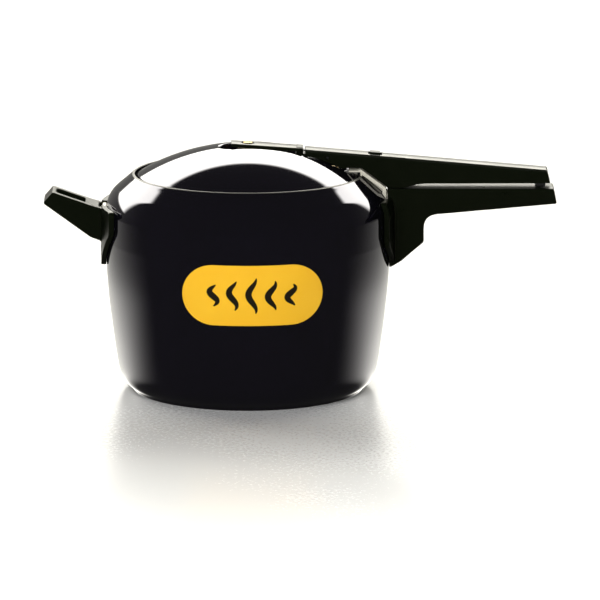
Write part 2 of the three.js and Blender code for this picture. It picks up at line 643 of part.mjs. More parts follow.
function lidHandle() {
  const [front, rear] = LID_HANDLE_X;
  const section = mirrored([
    [CHEEK_TOP_HALF, LID_HANDLE_TOP + 0.1], [CHEEK_HALF, LID_HANDLE_TOP - 2],
    [CHEEK_FOOT_HALF, LID_HANDLE_TOP - 17], [CHEEK_FOOT_HALF, LID_HANDLE_TOP - 40],
  ]);
  const body = grip(lidHandleOutline(), section, front, rear + 6, -HANDLE_SLOPE);
  const under = () => POT_HEIGHT - 20;
  const deep = line(front - 5, POT_RADIUS - 0.5, under, ceiling);
  const shallow = line(POT_RADIUS - 1.5, BAR_END + 1, under, (x) => barTop(x) + CLEAR);
  const [padFront, padRear] = [PAD_X[0] - 1.2, PAD_X[1] + 1.2];
  const pocket = [[STUD_X - 4.6, STUD_X + 4.6], [-5.4, 5.4], [under(), handleTop(STUD_X) - 3.2]];
  const cuts = [
    solid(slabXZ(deep, -CHANNEL_HALF, CHANNEL_HALF)),
    solid(slabXZ(shallow, -CHANNEL_HALF, CHANNEL_HALF)),
    solid(block([padFront, padRear], [-PAD_HALF - 0.8, PAD_HALF + 0.8], fromRim(-20, 30))),
    solid(block(...pocket)),
    solid(rodY(1.1 + RUN, LEVER_PIVOT, [-20, 20], 16)),
    ...BAR_SCREWS.map((x) => solid(rodZ(1.9 + RUN, [x, 0], [under(), handleTop(x) - 2.4], 16))),
  ];
  return cut(body, ...cuts);
}

function barScrew(x) {
  const seat = barFloor(x) - CLEAR - 0.4;
  const geometry = lathe([
    [0, seat - 2.4], [2.6, seat - 2.2], [3.6, seat - 1], [3.6, seat], [1.9, seat],
    [1.9, handleTop(x) - 4], [1.2, handleTop(x) - 3.2], [0, handleTop(x) - 3.2],
  ], 16);
  geometry.translate(x, 0, 0);
  const slot = block([x - 5, x + 5], [-0.5, 0.5], [seat - 4, seat - 1.4]);
  return cut(solid(geometry), solid(slot));
}

function catchClip() {
  const top = handleTop(STUD_X) - 3.2 - CLEAR;
  const [inner, outer] = [STUD_HEAD + 0.3, STUD_HEAD + 1];
  const foot = BODY_HANDLE_TOP + 0.5;
  const outline = [
    [-outer, foot], [-inner, foot], [-inner, top - 0.7], [inner, top - 0.7], [inner, foot],
    [outer, foot], [outer, top], [-outer, top],
  ];
  return solid(slabYZ(outline, STUD_X - 4, STUD_X + 4));
}

function releaseLever() {
  const [front, rear] = NOSE_X;
  const noseFloor = (x) => noseTop(x) - NOSE_THICK;
  const armFloor = (x) => armTop(x) - ARM_THICK;
  const noseSide = [
    [front + 1, noseFloor(front)], [rear, noseFloor(rear)], [rear, noseTop(rear)],
    [front + 0.8, noseTop(front)], [front, noseTop(front) - 0.9],
  ];
  const section = mirrored([
    [NOSE_HALF - 1.2, NOSE_TOP + 0.1], [NOSE_HALF, NOSE_TOP - 1.1], [NOSE_HALF, NOSE_TOP - 12],
  ]);
  const start = front - 2;
  const lowered = section.map(([y, z]) => [y, z - NOSE_SLOPE * start]);
  const nose = grip(noseSide, lowered, start, rear + 2, -NOSE_SLOPE);
  const arm = solid(slabXZ(line(rear - 6, PAD_X[1], armFloor, armTop), -ARM_HALF, ARM_HALF));
  const riser = solid(slabXZ(line(rear - 5, rear, armFloor, noseTop), -ARM_HALF, ARM_HALF));
  const hub = solid(rodY(2, LEVER_PIVOT, [-ARM_HALF, ARM_HALF], 20));
  const padTop = (x) => handleTop(x) + PAD_PROUD;
  const pad = solid(slabXZ(line(...PAD_X, armFloor, padTop), -PAD_HALF, PAD_HALF));
  const cuts = [
    solid(rodZ(3.2, [0, 0], fromRim(10, 30), 24)),
    solid(rodZ(KNOB_RADIUS + 1.4, [0, 0], [NOSE_TOP - 1.3, NOSE_TOP + 5], 24)),
    solid(rodY(1.1 + RUN, LEVER_PIVOT, [-20, 20], 16)),
  ];
  return cut(unite(nose, riser, arm, hub, pad), ...cuts);
}

// ---------- assembly ----------
const FINISH = {
  anodised: { color: 0x1b1a22, roughness: 0.3, metalness: 0.7 },
  phenolic: { color: 0x191d16, roughness: 0.42, metalness: 0 },
  steel: { color: 0xb9bcbf, roughness: 0.3, metalness: 1 },
  brass: { color: 0xb5934a, roughness: 0.32, metalness: 1 },
  aluminium: { color: 0xc6c8cc, roughness: 0.35, metalness: 1 },
  rubber: { color: 0x1f1f20, roughness: 0.8, metalness: 0 },
  yellow: { color: 0xf7bd18, roughness: 0.5, metalness: 0 },
  solder: { color: 0x8e9296, roughness: 0.55, metalness: 1 },
};

function piece(name, body, finish) {
  const { vertProperties, triVerts } = body.getMesh();
  const geometry = new THREE.BufferGeometry();
  geometry.setAttribute('position', new THREE.BufferAttribute(new Float32Array(vertProperties), 3));
  geometry.setIndex(Array.from(triVerts));
  geometry.computeVertexNormals();
  const mesh = new THREE.Mesh(geometry, new THREE.MeshStandardMaterial(FINISH[finish]));
  mesh.name = name;
  return mesh;
}

function group(name, ...children) {
  const g = new THREE.Group();
  g.name = name;
  g.add(...children);
  return g;
}

const pot = group(
  'pot',
  piece('pot_body', potBody(), 'anodised'),
  piece('label', label(), 'yellow'),
  piece('body_bracket', bodyBracket(), 'aluminium'),
  ...BODY_RIVETS.map((z, i) => piece(`body_rivet_${i + 1}`, rivet(1, z), 'aluminium')),
  piece('body_handle', bodyHandle(), 'phenolic'),
  piece('body_handle_screw', screwX(3.6, 1.6, POT_RADIUS + 20.5, POT_RADIUS + 3, BODY_SCREW_Z), 'steel'),
  piece('catch_stud', catchStud(), 'steel'),
  piece('helper_bracket', helperBracket(), 'aluminium'),
  ...HELPER_RIVETS.map((z, i) => piece(`helper_rivet_${i + 1}`, rivet(-1, z), 'aluminium')),
  piece('helper_handle', helperHandle(), 'phenolic'),
  piece('helper_screw', screwX(3.6, 1.6, -POT_RADIUS - 18, -POT_RADIUS - 4, HELPER_SCREW_Z), 'steel'),
);

const lid = group(
  'lid_assembly',
  piece('lid', lidPlate(), 'anodised'),
  piece('gasket', solid(oval(ring(gasketProfile()))), 'rubber'),
  piece('lid_bracket', lidBracket(), 'steel'),
  piece('vent_tube', ventTube(), 'steel'),
  piece('vent_washer', washer(0), 'rubber'),
  piece('vent_nut', hexNut(0), 'steel'),
  piece('safety_valve', safetyValve(), 'brass'),
  piece('fusible_plug', fusiblePlug(), 'solder'),
  piece('valve_washer', washer(VALVE_X), 'rubber'),
  piece('valve_nut', hexNut(VALVE_X), 'brass'),
);

const lidHandleGroup = group(
  'lid_handle_assembly',
  piece('handle_bar', handleBar(), 'steel'),
  piece('trunnion_pin_1', trunnionPin(1), 'steel'),
  piece('trunnion_pin_2', trunnionPin(-1), 'steel'),
  piece('lid_handle', lidHandle(), 'phenolic'),
  ...BAR_SCREWS.map((x, i) => piece(`bar_screw_${i + 1}`, barScrew(x), 'steel')),
  piece('lever_pin', solid(rodY(1.1, LEVER_PIVOT, [-CHEEK_HALF + 0.4, CHEEK_HALF - 0.4], 16)), 'steel'),
  piece('catch_clip', catchClip(), 'steel'),
);

const cooker = group(
  'pressure_cooker',
  pot,
  lid,
  lidHandleGroup,
  piece('release_lever', releaseLever(), 'phenolic'),
  piece('vent_weight', ventWeight(), 'brass'),
);

export default cooker;
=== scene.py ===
"""Stovetop pressure cooker: finished meshes, finishes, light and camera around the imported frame."""

import json
import logging
import math
from dataclasses import dataclass, field
from enum import Enum
from functools import cache
from typing import Callable, Optional, Sequence

import bmesh
import bpy
from mathutils import Matrix, Vector


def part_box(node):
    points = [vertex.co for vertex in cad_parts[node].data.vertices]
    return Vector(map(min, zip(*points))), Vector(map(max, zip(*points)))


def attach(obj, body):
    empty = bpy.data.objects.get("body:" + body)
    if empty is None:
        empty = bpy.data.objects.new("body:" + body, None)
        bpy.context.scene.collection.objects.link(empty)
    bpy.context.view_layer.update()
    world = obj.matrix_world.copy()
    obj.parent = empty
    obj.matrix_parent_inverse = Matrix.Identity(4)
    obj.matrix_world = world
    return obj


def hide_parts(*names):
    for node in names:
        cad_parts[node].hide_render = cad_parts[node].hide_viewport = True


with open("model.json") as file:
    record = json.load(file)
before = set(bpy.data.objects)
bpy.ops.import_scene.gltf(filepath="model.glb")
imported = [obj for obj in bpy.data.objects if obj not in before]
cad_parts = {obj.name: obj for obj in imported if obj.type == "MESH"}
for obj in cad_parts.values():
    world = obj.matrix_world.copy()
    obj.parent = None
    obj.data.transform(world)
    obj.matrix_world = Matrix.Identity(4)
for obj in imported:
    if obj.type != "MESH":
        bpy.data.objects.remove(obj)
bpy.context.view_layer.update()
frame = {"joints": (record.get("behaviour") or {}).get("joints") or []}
LOG = logging.getLogger("cooker")

MM = 0.001
Pair = tuple[float, float]
Triple = tuple[float, float, float]
Outline = Sequence[Pair]
Line = Callable[[float], float]
Loop = Callable[[float], Pair]

# Room round a pin or a rivet in its hole, in millimetres.
PIN_FIT = 0.06
# Corners whose arc would start nearer to them than this stay sharp.
LEAST_REACH = 0.02
# The longest stretch of an edge that the arc at one of its ends may take up.
REACH_SHARE = 0.48
# Points nearer than this are one point, before an edge is rounded, in millimetres.
WELD = 0.02
# Faces that turn by less than this, in degrees, are one flat face before an edge is rounded.
FLAT_TURN = 0.6


class Body(Enum):
    """The rigid bodies that the pieces ride on."""

    POT = "pot"
    LID_HANDLE = "lid_handle"
    LID = "lid"
    LEVER = "release_lever"
    WEIGHT = "vent_weight"


class Plane(Enum):
    """The plane that an outline is drawn in; a prism grows along the third axis."""

    XZ = "xz"
    XY = "xy"
    YZ = "yz"


class Axis(Enum):
    """Direction of a turned piece."""

    X = "x"
    Y = "y"
    Z = "z"


# ---------------------------------------------------------------- datum sizes
def node_box(name: str) -> tuple[Vector, Vector]:
    """Lowest and highest corners of a CAD node, in millimetres."""
    low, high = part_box(name)
    return low / MM, high / MM


def pivot_of(name: str) -> Vector:
    """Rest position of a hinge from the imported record, in millimetres."""
    joint = next(j for j in frame["joints"] if j["name"] == name)
    return Vector(joint["pos_m"]) / MM


@dataclass(frozen=True)
class Datum:
    """Sizes that every sub-assembly shares, in millimetres."""

    radius: float = node_box("pot_body")[1].x
    height: float = node_box("pot_body")[1].z
    wall: float = 3.25
    mouth: float = 88.0
    mouth_ratio: float = 0.909
    slope: float = 0.86
    dome_radius: float = 170.0
    dome_top: float = 192.2
    lid_wall: float = 3.0
    lid_gap: float = 2.0
    flange_reach: float = 6.5
    gasket: float = 3.4
    clear: float = 0.3
    well_half: float = node_box("lid_bracket")[1].y + 0.6
    well_front: float = -22.0

    def width_at(self, z: float) -> float:
        """Ratio of width to length of the pot's horizontal section at a height."""
        low, high = self.height - 32, self.height - 13
        t = min(max((z - low) / (high - low), 0), 1)
        return 1 - (1 - self.mouth_ratio) * t * t * (3 - 2 * t)

    def shoulder(self, r: float, depth: float = 0) -> float:
        """Height of the shoulder cone at a radius, a depth below its outer face."""
        top = self.height - 6.4 - self.slope * (r - self.mouth - 8.7)
        return top - depth * math.hypot(1, self.slope)

    def dome(self, r: float, inset: float = 0) -> float:
        """Height of the lid's dome, or of its inner face at an inset."""
        sphere = self.dome_radius - inset
        return self.dome_top - self.dome_radius + math.sqrt(max(sphere**2 - r**2, 0))

    @property
    def well_floor(self) -> float:
        """Height of the floor of the channel pressed into the lid."""
        return self.height + 1


DATUM = Datum()


# ---------------------------------------------------------------- shaping tools
def smooth_path(points: Outline, steps: int = 6) -> list[Pair]:
    """Runs a smooth curve through the points.

    Args:
        points: the outline's points.
        steps: points made for each span.

    Returns:
        The denser outline, from the first point to the last.
    """

    def blend(t: float, a: float, b: float, c: float, d: float) -> float:
        """Position along the span from b to c, whose neighbours are a and d."""
        square = (2 * a - 5 * b + 4 * c - d) * t * t
        return 0.5 * (2 * b + (c - a) * t + square + (3 * b - a - 3 * c + d) * t**3)

    out: list[Pair] = []
    ends = [points[0], *points, points[-1]]
    for span in zip(ends, ends[1:], ends[2:], ends[3:]):
        for k in range(steps):
            out.append(tuple(blend(k / steps, *values) for values in zip(*span)))
    out.append(tuple(points[-1]))
    return out


def arc(radius: float, start: float, end: float, steps: int, centre: Pair = (0, 0)) -> list[Pair]:
    """Points on an arc about a centre between two angles in radians, both ends included."""
    angles = [start + (end - start) * k / steps for k in range(steps + 1)]
    return [(centre[0] + radius * math.cos(a), centre[1] + radius * math.sin(a)) for a in angles]


def rolled_thread(root: float, crest: float, start: float, pitch: float, turns: int) -> list[Pair]:
    """Section of a rolled thread: one root and one crest for each turn."""
    ridges = [start + k * pitch for k in range(turns)]
    return [point for z in ridges for point in ((root, z), (crest, z + pitch / 2))]


def on_side(side: int, near: float, far: float) -> list[float]:
    """Two distances from the middle on one side of it, the lower position first."""
    return sorted((side * near, side * far))


def rounded(points: Outline, radius: float | Sequence[float], steps: int = 4) -> list[Pair]:
    """Rounds the corners of a closed outline.

    Args:
        points: corners in order.
        radius: one radius for all corners, or one for each.
        steps: spans in each arc.

    Returns:
        The outline with an arc at each corner whose radius isn't zero.
    """
    radii = [radius] * len(points) if isinstance(radius, (int, float)) else list(radius)
    out: list[Pair] = []
    for i, corner in enumerate(points):
        p = Vector(corner)
        a = Vector(points[i - 1]) - p
        b = Vector(points[(i + 1) % len(points)]) - p
        angle = a.angle(b)
        reach = min(radii[i] / math.tan(angle / 2), a.length * REACH_SHARE, b.length * REACH_SHARE)
        if reach < LEAST_REACH:
            out.append(tuple(p))
            continue
        start, end = p + a.normalized() * reach, p + b.normalized() * reach
        for k in range(steps + 1):
            t = k / steps
            q = start * (1 - t) ** 2 + p * 2 * t * (1 - t) + end * t * t
            out.append(tuple(q))
    return out


def crowned(half: float, top: float, rise: float, steps: int = 6) -> list[Pair]:
    """Right half of a slightly domed top face, from the middle out to its edge."""
    return [(half * k / steps, top - rise * (k / steps) ** 2) for k in range(1, steps + 1)]


def mirrored(half: Outline) -> list[Pair]:
    """Completes an outline from its right half."""
    return [*half, *[(-y, z) for y, z in reversed(half)]]


def make_object(name: str, points: Sequence[Triple], faces: Sequence[Sequence[int]]) -> bpy.types.Object:
    """Makes an object from points in millimetres, with its faces turned outwards."""
    mesh = bpy.data.meshes.new(name)
    mesh.from_pydata([tuple(c * MM for c in p) for p in points], [], faces)
    work = bmesh.new()
    work.from_mesh(mesh)
    bmesh.ops.remove_doubles(work, verts=work.verts, dist=1e-7)
    bmesh.ops.recalc_face_normals(work, faces=work.faces)
    work.to_mesh(mesh)
    work.free()
    made = bpy.data.objects.new(name, mesh)
    bpy.context.scene.collection.objects.link(made)
    return made


def turned(
    name: str,
    profile: Outline,
    segments: int = 64,
    centre: Triple = (0, 0, 0),
    axis: Axis = Axis.Z,
    closed: bool = False,
    oval: bool = False,
) -> bpy.types.Object:
    """Turns a profile of radius and height about an axis.

    Args:
        name: the object's name.
        profile: radius and height pairs; on the axis at both ends unless closed.
        segments: facets round the axis.
        centre: where the profile's zero goes.
        axis: direction that the profile's heights run along.
        closed: joins the last point to the first, for rings and tubes.
        oval: narrows the piece in Y as the pot's mouth narrows.

    Returns:
        The turned object.
    """
    points: list[Triple] = []
    rows: list[list[int]] = []
    for r, z in profile:
        count = segments if r > 1e-6 else 1
        row = []
        for i in range(count):
            a = 2 * math.pi * i / segments
            x, y = r * math.cos(a), r * math.sin(a)
            if oval:
                y *= DATUM.width_at(z + centre[2])
            local = {Axis.Z: (x, y, z), Axis.X: (z, x, y), Axis.Y: (y, z, x)}[axis]
            row.append(len(points))
            points.append(tuple(c + o for c, o in zip(local, centre)))
        rows.append(row)
    pairs = list(zip(rows, rows[1:]))
    if closed:
        pairs.append((rows[-1], rows[0]))
    return make_object(name, points, bridge(pairs, segments))


def bridge(pairs: Sequence[tuple[list[int], list[int]]], segments: int) -> list[tuple[int, ...]]:
    """Faces between rows of points; a row of one point is a pole."""
    faces: list[tuple[int, ...]] = []
    for low, high in pairs:
        for i in range(segments):
            j = (i + 1) % segments
            if len(low) == 1 and len(high) == 1:
                continue
            if len(low) == 1:
                faces.append((low[0], high[j], high[i]))
            elif len(high) == 1:
                faces.append((low[i], low[j], high[0]))
            else:
                faces.append((low[i], low[j], high[j], high[i]))
    return faces


def prism(
    name: str, outline: Outline, plane: Plane, low: float, high: float, slope: float = 0
) -> bpy.types.Object:
    """Extrudes an outline along the axis that its plane leaves out.

    Args:
        name: the object's name.
        outline: corners in the plane, in order.
        plane: the plane of the outline.
        low: start along the third axis.
        high: end along the third axis.
        slope: rise per millimetre of a YZ section as it runs along X.

    Returns:
        The prism.
    """
    points: list[Triple] = []
    for d in (low, high):
        for a, b in outline:
            if plane is Plane.XZ:
                points.append((a, d, b))
            elif plane is Plane.XY:
                points.append((a, b, d))
            else:
                points.append((d, a, b + slope * (d - low)))
    n = len(outline)
    faces: list[tuple[int, ...]] = [tuple(range(n)), tuple(range(2 * n - 1, n - 1, -1))]
    faces += [(i, (i + 1) % n, n + (i + 1) % n, n + i) for i in range(n)]
    return make_object(name, points, faces)


def rod(
    name: str, radius: float, axis: Axis, centre: Triple, low: float, high: float, sides: int = 32
) -> bpy.types.Object:
    """A plain round bar used as a cutter, its length measured along its axis from the centre."""
    profile = [(0, low), (radius, low), (radius, high), (0, high)]
    return turned(name, profile, sides, centre, axis)


def box(name: str, x: Pair, y: Pair, z: Pair) -> bpy.types.Object:
    """A plain block used as a cutter."""
    return prism(name, [(x[0], z[0]), (x[1], z[0]), (x[1], z[1]), (x[0], z[1])], Plane.XZ, *y)


def evaluated_mesh(piece: bpy.types.Object) -> bpy.types.Mesh:
    """The piece's mesh with its modifiers applied."""
    bpy.context.view_layer.update()
    graph = bpy.context.evaluated_depsgraph_get()
    return bpy.data.meshes.new_from_object(piece.evaluated_get(graph))


def settle(piece: bpy.types.Object) -> bpy.types.Object:
    """Applies all modifiers and removes them."""
    mesh = evaluated_mesh(piece)
    piece.modifiers.clear()
    old, piece.data = piece.data, mesh
    mesh.name = piece.name
    bpy.data.meshes.remove(old)
    return piece


def combine(
    piece: bpy.types.Object, tools: Sequence[bpy.types.Object], operation: str = "DIFFERENCE"
) -> bpy.types.Object:
    """Cuts, joins or intersects a piece with tool solids, which are used up.

    Args:
        piece: the solid that is kept.
        tools: the solids that shape it.
        operation: DIFFERENCE, UNION or INTERSECT.

    Returns:
        The shaped piece.
    """
    for tool in tools:
        step = piece.modifiers.new("shape", "BOOLEAN")
        step.operation = operation
        step.solver = "EXACT"
        step.object = tool
    settle(piece)
    for tool in tools:
        bpy.data.objects.remove(tool)
    return piece


def soften(piece: bpy.types.Object, radius: float, segments: int = 3, sharp: float = 32) -> bpy.types.Object:
    """Rounds a moulded or pressed piece's edges and shades it smoothly.

    Args:
        piece: the solid.
        radius: edge radius in millimetres.
        segments: spans across each rounded edge.
        sharp: edges that turn by less than this many degrees stay as they are.

    Returns:
        The softened piece.
    """
    work = bmesh.new()
    work.from_mesh(piece.data)
    bmesh.ops.remove_doubles(work, verts=work.verts, dist=WELD * MM)
    bmesh.ops.dissolve_limit(work, angle_limit=math.radians(FLAT_TURN), verts=work.verts, edges=work.edges)
    work.to_mesh(piece.data)
    work.free()
    bevel = piece.modifiers.new("edges", "BEVEL")
    bevel.width = radius * MM
    bevel.segments = segments
    bevel.limit_method = "ANGLE"
    bevel.angle_limit = math.radians(sharp)
    bevel.use_clamp_overlap = False
    settle(piece)
    return shade(piece, 38)


def shade(piece: bpy.types.Object, angle: float = 35) -> bpy.types.Object:
    """Smooth shading, with edges sharper than the angle kept crisp."""
    piece.data.shade_smooth()
    piece.data.set_sharp_from_angle(angle=math.radians(angle))
    weighted = piece.modifiers.new("normals", "WEIGHTED_NORMAL")
    weighted.keep_sharp = True
    return settle(piece)


# ---------------------------------------------------------------- finishes
def linear(hex_colour: str) -> tuple[float, float, float, float]:
    """Linear RGBA of an sRGB hex colour."""
    channels = [int(hex_colour[i : i + 2], 16) / 255 for i in (1, 3, 5)]
    return (*[c / 12.92 if c <= 0.04045 else ((c + 0.055) / 1.055) ** 2.4 for c in channels], 1.0)


def add(
    tree: bpy.types.NodeTree, kind: str, links: Optional[dict] = None, **settings: object
) -> bpy.types.Node:
    """Adds a node.

    Args:
        tree: the node tree.
        kind: the node's type name.
        links: input name or index to the output socket or the value that feeds it.
        settings: attributes of the node.

    Returns:
        The new node.
    """
    node = tree.nodes.new(kind)
    for name, value in settings.items():
        setattr(node, name, value)
    for key, value in (links or {}).items():
        if isinstance(value, bpy.types.NodeSocket):
            tree.links.new(value, node.inputs[key])
        else:
            node.inputs[key].default_value = value
    return node


@dataclass(frozen=True)
class Finish:
    """A surface: colours as sRGB hex, a fine grain and a broad unevenness, sizes in millimetres."""

    name: str
    dark: str
    light: str
    metallic: float = 0.0
    roughness: Pair = (0.3, 0.4)
    ior: float = 1.5
    grain_mm: float = 0.6
    cloud_mm: float = 30.0
    relief_mm: float = 0.01
    stretch: Triple = (1, 1, 1)
    gloss: str = "#ffffff"
    cloud_share: float = 0.65
    grain_share: float = 0.35

    @cache
    def material(self) -> bpy.types.Material:
        """Builds the material on the first call and returns the same one on every call."""
        made = bpy.data.materials.new(self.name)
        made.use_nodes = True
        tree = made.node_tree
        tree.nodes.clear()
        place = add(tree, "ShaderNodeTexCoord").outputs["Object"]
        scaled = add(tree, "ShaderNodeMapping", {"Vector": place, "Scale": self.stretch})
        grain = add(tree, "ShaderNodeTexNoise", {
            "Vector": scaled.outputs["Vector"], "Scale": 1 / (self.grain_mm * MM), "Detail": 4.0,
        }).outputs["Fac"]
        cloud = add(tree, "ShaderNodeTexNoise", {
            "Vector": place, "Scale": 1 / (self.cloud_mm * MM), "Detail": 3.0,
        }).outputs["Fac"]
        mixed = add(tree, "ShaderNodeMath", {0: cloud, 1: self.cloud_share}, operation="MULTIPLY")
        both = add(
            tree, "ShaderNodeMath", {0: grain, 1: self.grain_share, 2: mixed.outputs[0]},
            operation="MULTIPLY_ADD",
        ).outputs[0]
        colour = add(
            tree, "ShaderNodeMix", {"Factor": both, 6: linear(self.dark), 7: linear(self.light)},
            data_type="RGBA",
        )
        rough = add(tree, "ShaderNodeMapRange", {
            "Value": both, "From Min": 0.3, "From Max": 0.7,
            "To Min": self.roughness[0], "To Max": self.roughness[1],
        })
        bump = add(tree, "ShaderNodeBump", {
            "Height": grain, "Distance": self.relief_mm * MM, "Strength": 1.0,
        })
        shader = add(tree, "ShaderNodeBsdfPrincipled", {
            "Base Color": colour.outputs[2], "Roughness": rough.outputs[0],
            "Normal": bump.outputs["Normal"], "Metallic": self.metallic, "IOR": self.ior,
            "Specular Tint": linear(self.gloss),
        })
        add(tree, "ShaderNodeOutputMaterial", {"Surface": shader.outputs[0]})
        return made


# Hard-anodised aluminium, polished: near black with a violet cast, mirror-like, barely mottled.
ANODISED = Finish(
    "hard_anodised_aluminium", "#050409", "#0a0812", 0.0, (0.04, 0.07), 2.05, 0.5, 45, 0.0006,
    gloss="#f0eef8",
)
# Aluminium laid bare by the turning tool at the rim and dulled by use: dark satin grey.
BARE_EDGE = Finish("turned_rim_edge", "#444340", "#5e5c57", 1.0, (0.34, 0.46), 1.5, 0.4, 12, 0.004)
# Die-cast aluminium, tumbled and lightly polished: pale warm grey with a soft cloudiness.
CAST = Finish("cast_aluminium", "#dcd8c8", "#f2eede", 0.2, (0.38, 0.52), 1.5, 0.5, 6, 0.012)
# Moulded phenolic: green-black, a semi-gloss skin over a slightly mottled body.
PHENOLIC = Finish(
    "phenolic_moulding", "#060a04", "#0e130a", 0.0, (0.26, 0.36), 1.42, 0.7, 14, 0.004, gloss="#f4edd2"
)
# Stainless pressing, brushed along its length.
STEEL = Finish(
    "brushed_stainless_steel", "#8f9194", "#c6c8ca", 1.0, (0.22, 0.36), 1.5, 0.35, 9, 0.006, (0.08, 1, 1)
)
# Turned brass, slightly tarnished.
BRASS = Finish("turned_brass", "#8d6f35", "#c9a65c", 1.0, (0.2, 0.34), 1.5, 0.4, 5, 0.006, (1, 1, 0.2))
# Low-melting alloy cast into the plug: dull and grainy.
FUSIBLE = Finish("fusible_alloy", "#6c6f72", "#96999c", 1.0, (0.45, 0.6), 1.5, 0.5, 3, 0.02)
# Moulded nitrile rubber: matt, dusty black.
RUBBER = Finish("nitrile_rubber", "#131313", "#222222", 0.0, (0.6, 0.78), 1.52, 0.5, 8, 0.02)
# Stoved enamel print: warm yellow with a satin film.
YELLOW = Finish("yellow_enamel", "#f2b30f", "#fbc526", 0.0, (0.34, 0.42), 1.5, 0.5, 25, 0.002)
# Dark brown printing ink on the enamel.
INK = Finish("printing_ink", "#15120c", "#231d12", 0.0, (0.4, 0.5), 1.5, 0.4, 10, 0.002)


def finished(
    piece: bpy.types.Object, finish: Finish, body: Body, slot: str, *nodes: str
) -> bpy.types.Object:
    """Dresses a piece and ties it to the frame.

    Args:
        piece: the object.
        finish: its surface.
        body: the rigid body that it rides on.
        slot: the record's material slot; not used.
        nodes: the CAD nodes that it stands for.

    Returns:
        The finished piece.
    """
    if not piece.data.materials:
        piece.data.materials.append(finish.material())
    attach(piece, body.value)
    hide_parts(*nodes)
    LOG.info("%s: %d faces on %s", piece.name, len(piece.data.polygons), body.value)
    return piece


# ---------------------------------------------------------------- pot
@dataclass
class Pot:
    """The pot's body: bare-edged oval mouth, conical shoulder, tapering wall and turned base."""

    segments: int = 288
    foot: float = 20.3
    taper: Outline = (
        (18.4, 2.9), (16.1, 4.8), (13.6, 7.6), (11.6, 11.2), (10.0, 16), (8.6, 24), (6.8, 36.5),
        (5.1, 49), (2.8, 68), (0.95, 87), (0.2, 104), (0, 120),
    )
    bend: float = 23.0
    fairing: int = 10
    base_rings: Sequence[float] = (30.0, 52.0, 74.0)
    base_thick: float = 4.2
    bare_rim: float = 2.2

    def bend_points(self, grow: float) -> list[Pair]:
        """Arc that runs from the upright wall into the shoulder, tangent to both."""
        lean = math.atan(DATUM.slope)
        radius = self.bend + grow
        side = DATUM.radius + grow
        corner = DATUM.shoulder(side, -grow)
        reach = radius * math.tan((math.pi / 2 - lean) / 2)
        return arc(radius, 0, math.pi / 2 - lean, 20, (side - radius, corner - reach))

    def outer_wall(self, grow: float = 0) -> list[Pair]:
        """Outside of the wall from above the foot to the shoulder, grown by an allowance."""
        line = smooth_path([(DATUM.radius - inset + grow, z) for inset, z in self.taper], 8)
        for _ in range(self.fairing):
            fair = [
                ((a[0] + 2 * b[0] + c[0]) / 4, (a[1] + 2 * b[1] + c[1]) / 4)
                for a, b, c in zip(line, line[1:], line[2:])
            ]
            line = [line[0], *fair, line[-1]]
        return [*line, *self.bend_points(grow)]

    def outline(self, grow: float = 0) -> list[Pair]:
        """The outside as a closed body of revolution, used to fit what hugs the pot."""
        top = DATUM.mouth + 4.5
        wall = self.outer_wall(grow)
        return [
            (0, -grow), (DATUM.radius - self.foot + grow, -grow), *wall,
            (top, DATUM.shoulder(top, -grow)), (DATUM.mouth + 1, DATUM.height + grow),
            (0, DATUM.height + grow),
        ]

    def radius_at(self, z: float) -> float:
        """Radius of the outside at a height."""
        line = self.outer_wall()
        for (r0, z0), (r1, z1) in zip(line, line[1:]):
            if z0 <= z <= z1:
                return r0 + (r1 - r0) * (z - z0) / max(z1 - z0, 1e-6)
        return DATUM.radius

    def guard(self, grow: float) -> bpy.types.Object:
        """A cutter the shape of the pot's outside, grown by an allowance."""
        return turned("pot_guard", self.outline(grow), 144, oval=True)

    def profile(self) -> list[Pair]:
        """The whole section, from the centre of the underside round to the centre inside."""
        d = DATUM
        foot = d.radius - self.foot
        rings = []
        for r in self.base_rings:
            rings += [(r, 0), (r + 0.5, 0.35), (r + 2.0, 0.35), (r + 2.5, 0)]
        edge = [(foot - 1, 0), (foot - 0.3, 0.1), (foot, 0.5), (foot + 0.2, 1.8), (foot + 0.9, 2.5)]
        start = self.bend_points(0)[-1][0]
        cone = [(start - k * 2, d.shoulder(start - k * 2)) for k in range(1, 5)]
        mouth = d.mouth
        rim = [
            (mouth + 3.6, d.shoulder(mouth + 3.6)), (mouth + self.bare_rim, d.height - 0.62),
            (mouth + 1.3, d.height - 0.12), (mouth + 0.8, d.height), (mouth + 0.25, d.height - 0.18),
            (mouth, d.height - 0.7), (mouth, d.shoulder(mouth, d.wall) + 0.6),
            (mouth + 0.7, d.shoulder(mouth + 0.7, d.wall)),
        ]
        inner_top = d.radius - 9.6
        bend = [(r - d.wall * 0.93, z) for r, z in reversed(self.bend_points(0)) if z < d.height - 20]
        roof = (mouth + 6, d.shoulder(mouth + 6, d.wall))
        wall = [(d.radius - inset - d.wall, z) for inset, z in reversed(self.taper) if z > 14]
        low = [(d.radius - 18.4, 8.8), (d.radius - 22.6, 5.5), (d.radius - 28, self.base_thick)]
        inside = smooth_path([(inner_top, d.shoulder(inner_top, d.wall)), *bend[::4], *wall, *low], 4)
        middle = (0, self.base_thick)
        return [(0, 0), *rings, *edge, *self.outer_wall(), *cone, *rim, roof, *inside, middle]

    def build(self) -> None:
        """Makes the pot's body."""
        body = turned("pot_shell", self.profile(), self.segments, oval=True)
        body.data.materials.append(ANODISED.material())
        body.data.materials.append(BARE_EDGE.material())
        for face in body.data.polygons:
            r = math.hypot(face.center.x, face.center.y / DATUM.mouth_ratio) / MM
            if face.center.z > (DATUM.height - 0.5) * MM and r < DATUM.mouth + self.bare_rim:
                face.material_index = 1
        shade(body, 40)
        finished(body, ANODISED, Body.POT, "hard_anodised", "pot_body")


